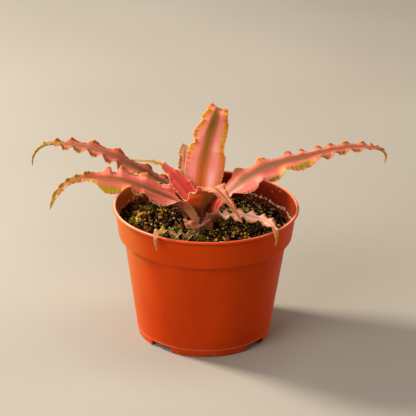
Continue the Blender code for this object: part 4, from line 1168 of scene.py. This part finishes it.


# %% [markdown]
# ### The finish of a leaf
# The upper face is pink, finely streaked along its length, with a brown to olive band down the middle and
# olive, yellow-green or orange margins, which are broadest where the margin waves. The tip is yellow olive,
# and the teeth are pale, with a thin pale rim along the edge that is partly a painted highlight. The
# underside is rust brown, with greyish scurf in fine cross bands. Some leaves get a dark base near the crown
# and soft patches that are painted shade, and pale patches that are painted highlights. All of that is one
# node group that reads the blade's own marks, and each leaf gives it its own colours.

# %% Shared group: leaf skin
USUAL = dict(
    body=(0.80, 0.13, 0.12), body_pale=(0.92, 0.30, 0.26), band=(0.36, 0.17, 0.085),
    band_dark=(0.18, 0.072, 0.034), band_far=(0.28, 0.12, 0.060), margin=(0.19, 0.085, 0.008),
    margin_pale=(0.30, 0.18, 0.012), margin_sun=(0.31, 0.32, 0.004), edge=(0.66, 0.11, 0.02),
    tip=(0.46, 0.29, 0.015), base=(0.66, 0.07, 0.06), under=(0.42, 0.070, 0.020), band_width=0.26,
    band_strength=0.85, margin_width=2.6, margin_from=0.0, base_reach=0.12, tip_start=0.84, scurf=0.25,
    right_margin=(0.55, 0.17, 0.010), right_share=0.0)
SKIN_OUT = dict(color="Color", roughness="Float", height="Float")
skin_group, look, going = new_group("leaf_skin", USUAL, SKIN_OUT)

# What the blade's marks say, and the noise that all parts share.
place = mark(skin_group, "leaf_place", "Vector")
across, _, under = parts_of(place)
far, share, swing = parts_of(mark(skin_group, "leaf_share", "Vector"))
edge, spine, sun = parts_of(mark(skin_group, "leaf_edge", "Vector"))
streak = noise(scaled(place, 1.0, 0.05, 9.0), 1.9, 3.0, 0.6)
lines = noise(scaled(place, 1.0, 0.015, 9.0), 2.6, 1.0)
broad = noise(scaled(place, 0.30, 0.035, 5.0), 1.0)
patch = noise(scaled(place, 0.35, 0.35, 3.0), 1.0, 3.0, 0.6)
bands = noise(scaled(place, 0.25, 1.3, 7.0), 1.0, 3.0, 0.65)
flour = noise(scaled(place, 2.4, 2.4, 5.0), 1.0, 3.0, 0.7)
from_base = share / look.base_reach

# The body with its pale stripes, and the band down the middle.
beside_band = far - (look.band_width * 1.1 + 0.14)
shine = fade(abs(beside_band), 0.16, 0.0, 0.0, 0.45) * fade(broad, 0.40, 0.60)
body = layered(blend(fade(streak + broad, 0.80, 1.22), look.body, look.body_pale),
               (sun * fade(far, 0.30, 0.75) * 0.55, (0.85, 0.42, 0.10)), (shine, look.body_pale))
band_edge = look.band_width + (streak - 0.5) * 0.22
in_band = fade(far - band_edge, 0.07, -0.08) * look.band_strength
band = blend(fade(lines + far / look.band_width * 0.35, 0.52, 0.78), look.band_dark, look.band)
band = blend(fade(share, 0.15, 0.60) * fade(lines, 0.42, 0.60, 0.45, 1.0), band, look.band_far)
tipness = fade(share - (look.tip_start + (patch - 0.5) * 0.1), -0.05, 0.08)

# The margin: broad at the crests and troughs of its waves, narrow near the base, and brighter in the sun.
lobes = fade(swing, 0.30, 0.75).at_least(fade(swing, 0.40, 0.06))
lobes = flow(skin_group, "Mix", {0: fade(share - look.tip_start, -0.14, -0.02), 2: lobes, 3: 0.45})
clear_base = fade(from_base, 0.7, 1.3) * fade(share - look.margin_from, -0.05, 0.03, 0.3, 1.0)
margin_width = look.margin_width * clear_base * (lobes * 0.75 + 0.12 + (sun * 0.30 + (patch - 0.5) * 0.7))
in_margin = fade(edge / margin_width.at_least(0.05), sun * 0.2 + 1.15, 0.55) * (tipness * -0.8 + 1.0)
on_right = (across > 0.0) * look.right_share
sunny = sun + (patch - 0.5) * 0.5
margin = layered(blend(fade(patch, 0.35, 0.68), look.margin, look.margin_pale),
                 (on_right * fade(patch, 0.30, 0.50, 0.6, 1.0), look.right_margin),
                 (fade(sunny, 0.15, 0.55), (0.66, 0.36, 0.010)), (fade(sunny, 0.45, 1.05), look.margin_sun))
sun_rim = fade(edge, 1.2, 0.6) * fade(sun, 0.15, 0.5, 0.0, 0.9)
rim = fade(edge, 0.70, 0.25) * (tipness * -0.6 + 0.75)

# The underside, the base (painted shade on some leaves), the soft patches of each leaf (some of them painted
# highlights and painted shade), the scurf, and the pale teeth and edge rim, the rim partly a painted
# highlight.
under_tone = layered(blend(fade(streak, 0.35, 0.65), look.under, blend(0.35, look.under, body)),
                     (in_margin * 0.7, margin), (in_band * 0.8, look.band), (tipness, look.tip))
# base colour near the crown; on the front, right and front left leaves it is painted shade
base_tone_and_shade = blend(fade(streak, 0.35, 0.65, 0.0, 0.35), look.base, (0.10, 0.035, 0.02))
cover = mark(skin_group, "leaf_cover") * fade(streak, 0.30, 0.60, 0.65, 1.0)
scurf = fade(bands, 0.45, 0.62) * fade(flour, 0.46, 0.60)
scurf = (scurf * (look.scurf * (under * 1.6 + 0.4))).clamped()
# pale teeth, and a pale rim along the edge that is partly a painted highlight where light catches it
pale = fade(spine, 0.25, 0.75, 0.0, 0.80).at_least(fade(edge, 0.38, 0.10, 0.0, 0.35))
pale = pale * fade(share, 0.35, 0.85, 1.0, 0.35) * fade(from_base, 0.5, 1.1)
colour = layered(body, (in_band, band), (tipness, look.tip), (in_margin, margin),
                 (sun_rim, (0.85, 0.32, 0.012)), (rim, look.edge), (under * 0.85, under_tone),
                 (fade(from_base, 1.15, 0.5, 0.0, 0.92), base_tone_and_shade),
                 (cover, mark(skin_group, "leaf_tint", "Vector")), (scurf, (0.74, 0.42, 0.29)),
                 (pale, (1.0, 0.76, 0.56)))
give(going, color=colour, roughness=under * 0.12 + 0.40 + scurf * 0.4 + patch * 0.10,
     height=streak + flour * 0.30 + scurf * 0.5)


def leaf_finish(name, **own):
    """A leaf's material: the shared skin with this leaf's own values, and a little light let through."""
    finish, tree, shader = new_finish(name, specular_ior_level=0.1, subsurface_weight=0.5,
                                      subsurface_scale=0.0015)
    shader.inputs["Subsurface Radius"].default_value = (1.0, 0.35, 0.25)
    skin = use_group(tree, skin_group, **own)
    give(shader, base_color=skin.color, roughness=skin.roughness)
    raise_bumps(shader, skin.height, 0.12, 0.8)
    return finish


# %% The leaves
# base_reach and tip_start are shares of the length. glow places: run in millimetres, side, reach.
LOOKS = {
    "leaf_left_upper": dict(
        body=(0.42, 0.066, 0.048), body_pale=(0.63, 0.17, 0.13), band_width=0.38, band=(0.28, 0.115, 0.055),
        band_dark=(0.14, 0.062, 0.03), band_far=(0.27, 0.125, 0.065), right_margin=(0.17, 0.065, 0.006),
        right_share=0.8, margin_width=3, scurf=0.15, tip_start=0.79, tip=(0.28, 0.25, 0.01),
        margin=(0.12, 0.075, 0.005), margin_pale=(0.22, 0.15, 0.008)),
    "leaf_left_lower": dict(
        body=(0.72, 0.11, 0.09), body_pale=(0.84, 0.26, 0.2), band_width=0.24, margin_width=2.8,
        margin_from=0.34, scurf=0.15, band=(0.34, 0.155, 0.055), band_dark=(0.16, 0.072, 0.02),
        band_far=(0.28, 0.135, 0.035), right_margin=(0.38, 0.15, 0.008), right_share=0.85,
        base=(1, 0.58, 0.32), margin_sun=(0.5, 0.42, 0.003), base_reach=0.2, tip_start=0.88,
        tip=(0.32, 0.29, 0.012), edge=(0.6, 0.15, 0.02), under=(0.62, 0.18, 0.075)),
    # its darker base is painted shade from the cleft by the crown
    "leaf_right": dict(
        body=(0.62, 0.105, 0.084), body_pale=(0.8, 0.26, 0.21), band_width=0.36, band=(0.28, 0.115, 0.058),
        band_dark=(0.15, 0.062, 0.03), band_far=(0.18, 0.08, 0.042), margin_width=2.8, margin_from=0.36,
        scurf=0.15, tip_start=0.9, base=(0.5, 0.06, 0.05), base_reach=0.14),
    "leaf_upright": dict(
        band=(0.66, 0.22, 0.008), band_dark=(0.46, 0.16, 0.002), band_far=(0.27, 0.135, 0.001),
        band_width=0.32, margin=(0.54, 0.17, 0.003), margin_pale=(0.62, 0.3, 0.004),
        margin_sun=(0.62, 0.4, 0.002), margin_width=3.2, margin_from=0.36, body=(1, 0.2, 0.17),
        body_pale=(1, 0.38, 0.33), edge=(0.85, 0.22, 0.01), tip_start=0.97, scurf=0.1, base_reach=0.05),
    "leaf_young_left": dict(
        body=(0.66, 0.05, 0.055), body_pale=(0.84, 0.13, 0.12), band=(0.46, 0.13, 0.05),
        band_dark=(0.4, 0.09, 0.04), band_width=0.22, band_strength=0.35, margin=(0.58, 0.23, 0.1),
        margin_pale=(0.76, 0.36, 0.18), margin_width=0.7, tip=(0.3, 0.2, 0.035), tip_start=0.58),
    "leaf_behind": dict(
        body=(0.72, 0.33, 0.23), body_pale=(0.86, 0.5, 0.37), band_width=0.3, band_strength=0.35,
        margin=(0.24, 0.22, 0.01), margin_pale=(0.5, 0.44, 0.02), margin_width=2.2, tip_start=0.9,
        edge=(0.4, 0.12, 0.03)),
    # its dark brown base is painted shade from the crown
    "leaf_front": dict(
        under=(0.62, 0.15, 0.013), band=(0.32, 0.17, 0.03), band_dark=(0.24, 0.12, 0.03), band_width=0.24,
        band_strength=0.75, body=(0.78, 0.22, 0.15), body_pale=(0.88, 0.36, 0.27), margin=(0.56, 0.14, 0.012),
        margin_pale=(0.62, 0.2, 0.02), margin_width=1.3, edge=(0.34, 0.09, 0.03), scurf=0.12, tip_start=0.96,
        tip=(0.46, 0.24, 0.12), base=(0.24, 0.055, 0.02), base_reach=0.2),
    "leaf_front_right": dict(
        body=(1, 0.42, 0.32), body_pale=(1, 0.6, 0.5), band_width=0.26, band=(0.86, 0.44, 0.31),
        band_dark=(0.66, 0.3, 0.2), band_strength=0.5, margin_width=1.1, scurf=0.08,
        under=(0.38, 0.12, 0.055), margin=(0.34, 0.12, 0.03), margin_pale=(0.4, 0.2, 0.05),
        base=(0.36, 0.105, 0.05), base_reach=0.22, tip_start=0.84),
    # its near-black underside and base are painted shade
    "leaf_front_left": dict(
        body=(0.5, 0.13, 0.09), body_pale=(0.62, 0.22, 0.16), band_width=0.3, band=(0.24, 0.12, 0.05),
        band_strength=0.6, margin=(0.05, 0.075, 0.004), margin_pale=(0.12, 0.16, 0.006),
        margin_sun=(0.42, 0.5, 0.006), margin_width=2.6, scurf=0.15, under=(0.06, 0.05, 0.012), tip_start=0.8,
        tip=(0.44, 0.16, 0.1), base=(0.045, 0.035, 0.012), base_reach=0.36, edge=(0.5, 0.36, 0.05)),
    "leaf_back": dict(
        band_width=0.34, margin_width=2.4),
    "leaf_old_stub": dict(
        body=(0.16, 0.04, 0.02), body_pale=(0.28, 0.09, 0.05), band=(0.14, 0.05, 0.02),
        margin=(0.2, 0.08, 0.02), margin_pale=(0.26, 0.12, 0.04), tip=(0.24, 0.1, 0.04),
        under=(0.16, 0.04, 0.02), scurf=0.5),
}
GLOWS = {
    "leaf_left_lower": [(60.0, -1, 10.0)],
    "leaf_right": [(64.5, 1, 7.0)],
    "leaf_upright": [(33.5, -1, 3.0), (46.4, -1, 3.0), (54.0, -1, 2.0), (44.0, 1, 5.0), (30.5, 1, 3.0)],
}
# Each tint: run, v, reach along, reach across, face (0 above, 1 below), colour, strength. Some are painted
# highlights and painted shade, as noted at each leaf.
TINTS = {
    # front leaf: the three near-black tints on the underside are painted shade in its folds
    "leaf_front": [
        (16, 0.6, 6, 0.3, 1, (0.9, 0.26, 0.02), 0.9),
        (20, 0, 5, 0.24, 1, (0.46, 0.22, 0.014), 0.8),
        (13, -0.8, 8, 0.25, 1, (0.84, 0.2, 0.13), 0.8),
        (13.5, -0.42, 3.5, 0.16, 1, (0.06, 0.014, 0.003), 1),
        (8.5, -0.28, 3.5, 0.16, 1, (0.06, 0.014, 0.003), 1),
        (4, -0.12, 3.5, 0.18, 1, (0.06, 0.014, 0.003), 1)],
    # upright leaf: the six pale pink tints beside the band are painted highlights
    "leaf_upright": [
        (18, -0.6, 10, 0.24, 0, (1, 0.44, 0.42), 0.9),
        (32, -0.5, 8, 0.22, 0, (1, 0.4, 0.32), 0.9),
        (45, -0.55, 6, 0.2, 0, (1, 0.46, 0.32), 0.8),
        (17, 0.52, 11, 0.2, 0, (1, 0.68, 0.62), 1),
        (18, 0.92, 14, 0.16, 0, (0.6, 0.24, 0.03), 0.9),
        (33, 0.52, 8, 0.18, 0, (1, 0.56, 0.5), 0.9),
        (46, 0.52, 7, 0.22, 0, (1, 0.38, 0.32), 0.8),
        (36, 0.04, 8, 0.1, 0, (0.22, 0.13, 0.001), 0.7),
        (50, 0, 7, 0.24, 0, (0.17, 0.105, 0.001), 0.8)],
    "leaf_left_lower": [
        (7, 0, 7, 0.8, 1, (1, 0.42, 0.19), 0.9),
        (83, 0.9, 10, 0.45, 0, (0.2, 0.2, 0.01), 1),
        (69, -0.9, 4, 0.4, 0, (0.8, 0.5, 0.03), 0.8),
        (66, 0.2, 12, 0.8, 0, (0.42, 0.095, 0.045), 0.65)],
    "leaf_right": [
        (18, 0.45, 12, 0.3, 0, (0.96, 0.34, 0.29), 0.7),
        (28.5, -0.9, 3.5, 0.4, 0, (0.34, 0.16, 0.02), 0.9),
        (41.5, -0.9, 3.5, 0.4, 0, (0.52, 0.17, 0.015), 0.9),
        (52, 0.92, 3.5, 0.3, 0, (0.78, 0.4, 0.03), 0.8),
        (80, 0, 26, 2, 0, (0.4, 0.09, 0.055), 0.5),
        (66, 0, 32, 0.26, 0, (0.15, 0.062, 0.03), 0.8),
        (30, 0, 14, 0.22, 0, (0.19, 0.08, 0.036), 0.6)],
    # upper left leaf: the first tint, darker across the middle of the blade, is painted shade
    "leaf_left_upper": [
        (60, 0, 14, 2, 0, (0.42, 0.085, 0.05), 0.45),
        (42, 0, 22, 0.32, 0, (0.15, 0.062, 0.03), 0.7)],
    # front left leaf: the first tint, near black on the near half, and the last, over the base, are painted
    # shade
    "leaf_front_left": [
        (26, -0.8, 14, 0.45, 0, (0.03, 0.045, 0.004), 0.9),
        (42, 0.85, 1.9, 0.5, 0, (0.22, 0.34, 0.004), 1),
        (35, 0.85, 1.9, 0.5, 0, (0.16, 0.28, 0.004), 1),
        (28.5, 0.85, 1.9, 0.5, 0, (0.26, 0.32, 0.004), 1),
        (49, 0.8, 2, 0.4, 0, (0.62, 0.46, 0.02), 0.9),
        (15, 0, 9, 2, 0, (0.03, 0.035, 0.006), 0.9)],
}


def make_leaf(name, seed):
    """The finer blade that stands for a packed leaf."""
    points, marks = blade(LEAVES[name], seed, GLOWS.get(name, ()), TINTS.get(name, ()))
    finish = leaf_finish("skin_of_" + name, **LOOKS[name])
    make_piece(name.replace("leaf", "blade"), points.reshape(-1, 3), blade_faces(len(points)), finish,
               name, marks)


for number, name in enumerate(LEAVES):
    make_leaf(name, 100 + 10 * number)


# %% [markdown]
# ## The crown
# The leaves grow from a short stem that is wrapped in the dry, scaly bases of older leaves. It is a profile
# carried round its axis with shallow ridges, and a ring of small pointed scales stands round its foot.


# %% Crown
def crown_finish():
    """Dry brown skin with pale scurf."""
    finish, tree, shader = new_finish("dry_crown", roughness=0.75)
    spot = millimetres(tree)
    dust = use_group(tree, dust_group, vector=spot, size=1.6, amount=0.5)
    tone = noise(scaled(spot, 1.0, 1.0, 0.25), 1.4, 4.0, 0.6)
    colour = blend(fade(tone, 0.35, 0.65), (0.16, 0.055, 0.035), (0.42, 0.20, 0.14))
    give(shader, base_color=blend(dust.specks * 0.6, colour, (0.62, 0.48, 0.40)))
    raise_bumps(shader, tone, 0.3)
    return finish


def make_crown():
    """Radius by height, times 1 + ridges that run up the stem and fade at its ends."""
    turn = np.linspace(0, 2 * math.pi, 96, endpoint=False)[None]
    stem_top = 77.2
    height = np.linspace(STEM_FOOT, stem_top, 90)[:, None]
    radius = through(height, [(STEM_FOOT, 4.4), (60.0, 4.6), (67.0, 4.6), (70.0, 4.1), (73.5, 3.3),
                              (76.0, 2.4), (stem_top, 0.9)])
    ridges = 0.05 * np.sin(9 * turn + 0.35 * height) + 0.04 * np.sin(5 * turn - 0.9 * height)
    rings = 0.05 * np.sin(height * 2.6 + 1.2 * np.sin(3 * turn))
    radius = radius * (1 + (ridges + rings) * np.clip((height - 62) / 4, 0, 1) - 0.03)
    points = np.stack([STEM_X + radius * np.cos(turn), STEM_Y + radius * np.sin(turn),
                       np.broadcast_to(height, radius.shape)], -1)
    ends = [[STEM_X, STEM_Y, STEM_FOOT], [STEM_X, STEM_Y, stem_top + 0.3]]
    make_piece("crown", np.concatenate([points.reshape(-1, 3), ends]), tube_faces(*points.shape[:2]),
               crown_finish(), "stem")


make_crown()


# %% Scales round the crown
def make_scales():
    """Short clasping blades, one mesh: each starts on a ring round the crown, rises and leans outwards."""
    draw = np.random.default_rng(61)
    count = 16
    skins, faces, found, start = [], [], {}, 0
    for number in range(count):
        turn = math.radians(360.0 / count * number + draw.uniform(-9, 9))
        ring = draw.uniform(0.85, 1.1)
        tall = draw.uniform(5.5, 9.0)
        out = np.array([math.cos(turn), math.sin(turn), 0.0])
        foot = np.array([*SCALE_MIDDLE, 63.6]) + out * SCALE_RING * ring
        rise = np.array([(0.0, 0.0), (0.1, 0.33), (0.5, 0.70), (1.3 + draw.uniform(0, 0.8), 1.0)])
        midrib = [tuple(foot + out * step + [0.0, 0.0, tall * up]) for step, up in rise]
        scale = dict(azimuth=math.degrees(turn), midrib=midrib, pitch=1.3,
                     half=[(0, 4.4), (0.45, 4.3), (0.75, 2.9), (1, 0.4)],
                     cup=[(0, 52), (0.6, 42), (1, 20)], wave=[(0, 0), (0.6, 0.4), (1, 0)],
                     left=[2, 4.5, 7, 9.5], right=[3, 5.5, 8, 10.5])
        points, marks = blade(scale, 300 + 2 * number)
        rows = points.shape[0]
        skins.append(points.reshape(-1, 3))
        faces.append([group + start for group in blade_faces(rows)])
        start += rows * points.shape[1]
        for label, values in marks.items():
            found.setdefault(label, []).append(values)
    finish = leaf_finish("skin_of_scales", body=(0.54, 0.135, 0.065), body_pale=(0.66, 0.22, 0.125),
                         band_strength=0.0, margin=(0.30, 0.12, 0.07), margin_pale=(0.42, 0.20, 0.12),
                         margin_width=0.6, edge=(0.40, 0.16, 0.10), tip=(0.50, 0.24, 0.17), tip_start=0.9,
                         base=(0.44, 0.11, 0.045), base_reach=0.30, under=(0.72, 0.21, 0.10), scurf=0.45)
    groups = [np.concatenate([part[k] for part in faces]) for k in range(3)]
    make_piece("crown_scales", np.concatenate(skins), groups, finish,
               marks={label: np.concatenate(values) for label, values in found.items()})


SCALE_MIDDLE, SCALE_RING = (-4.2, -5.4), np.array([7.2, 6.3, 0.0])
make_scales()
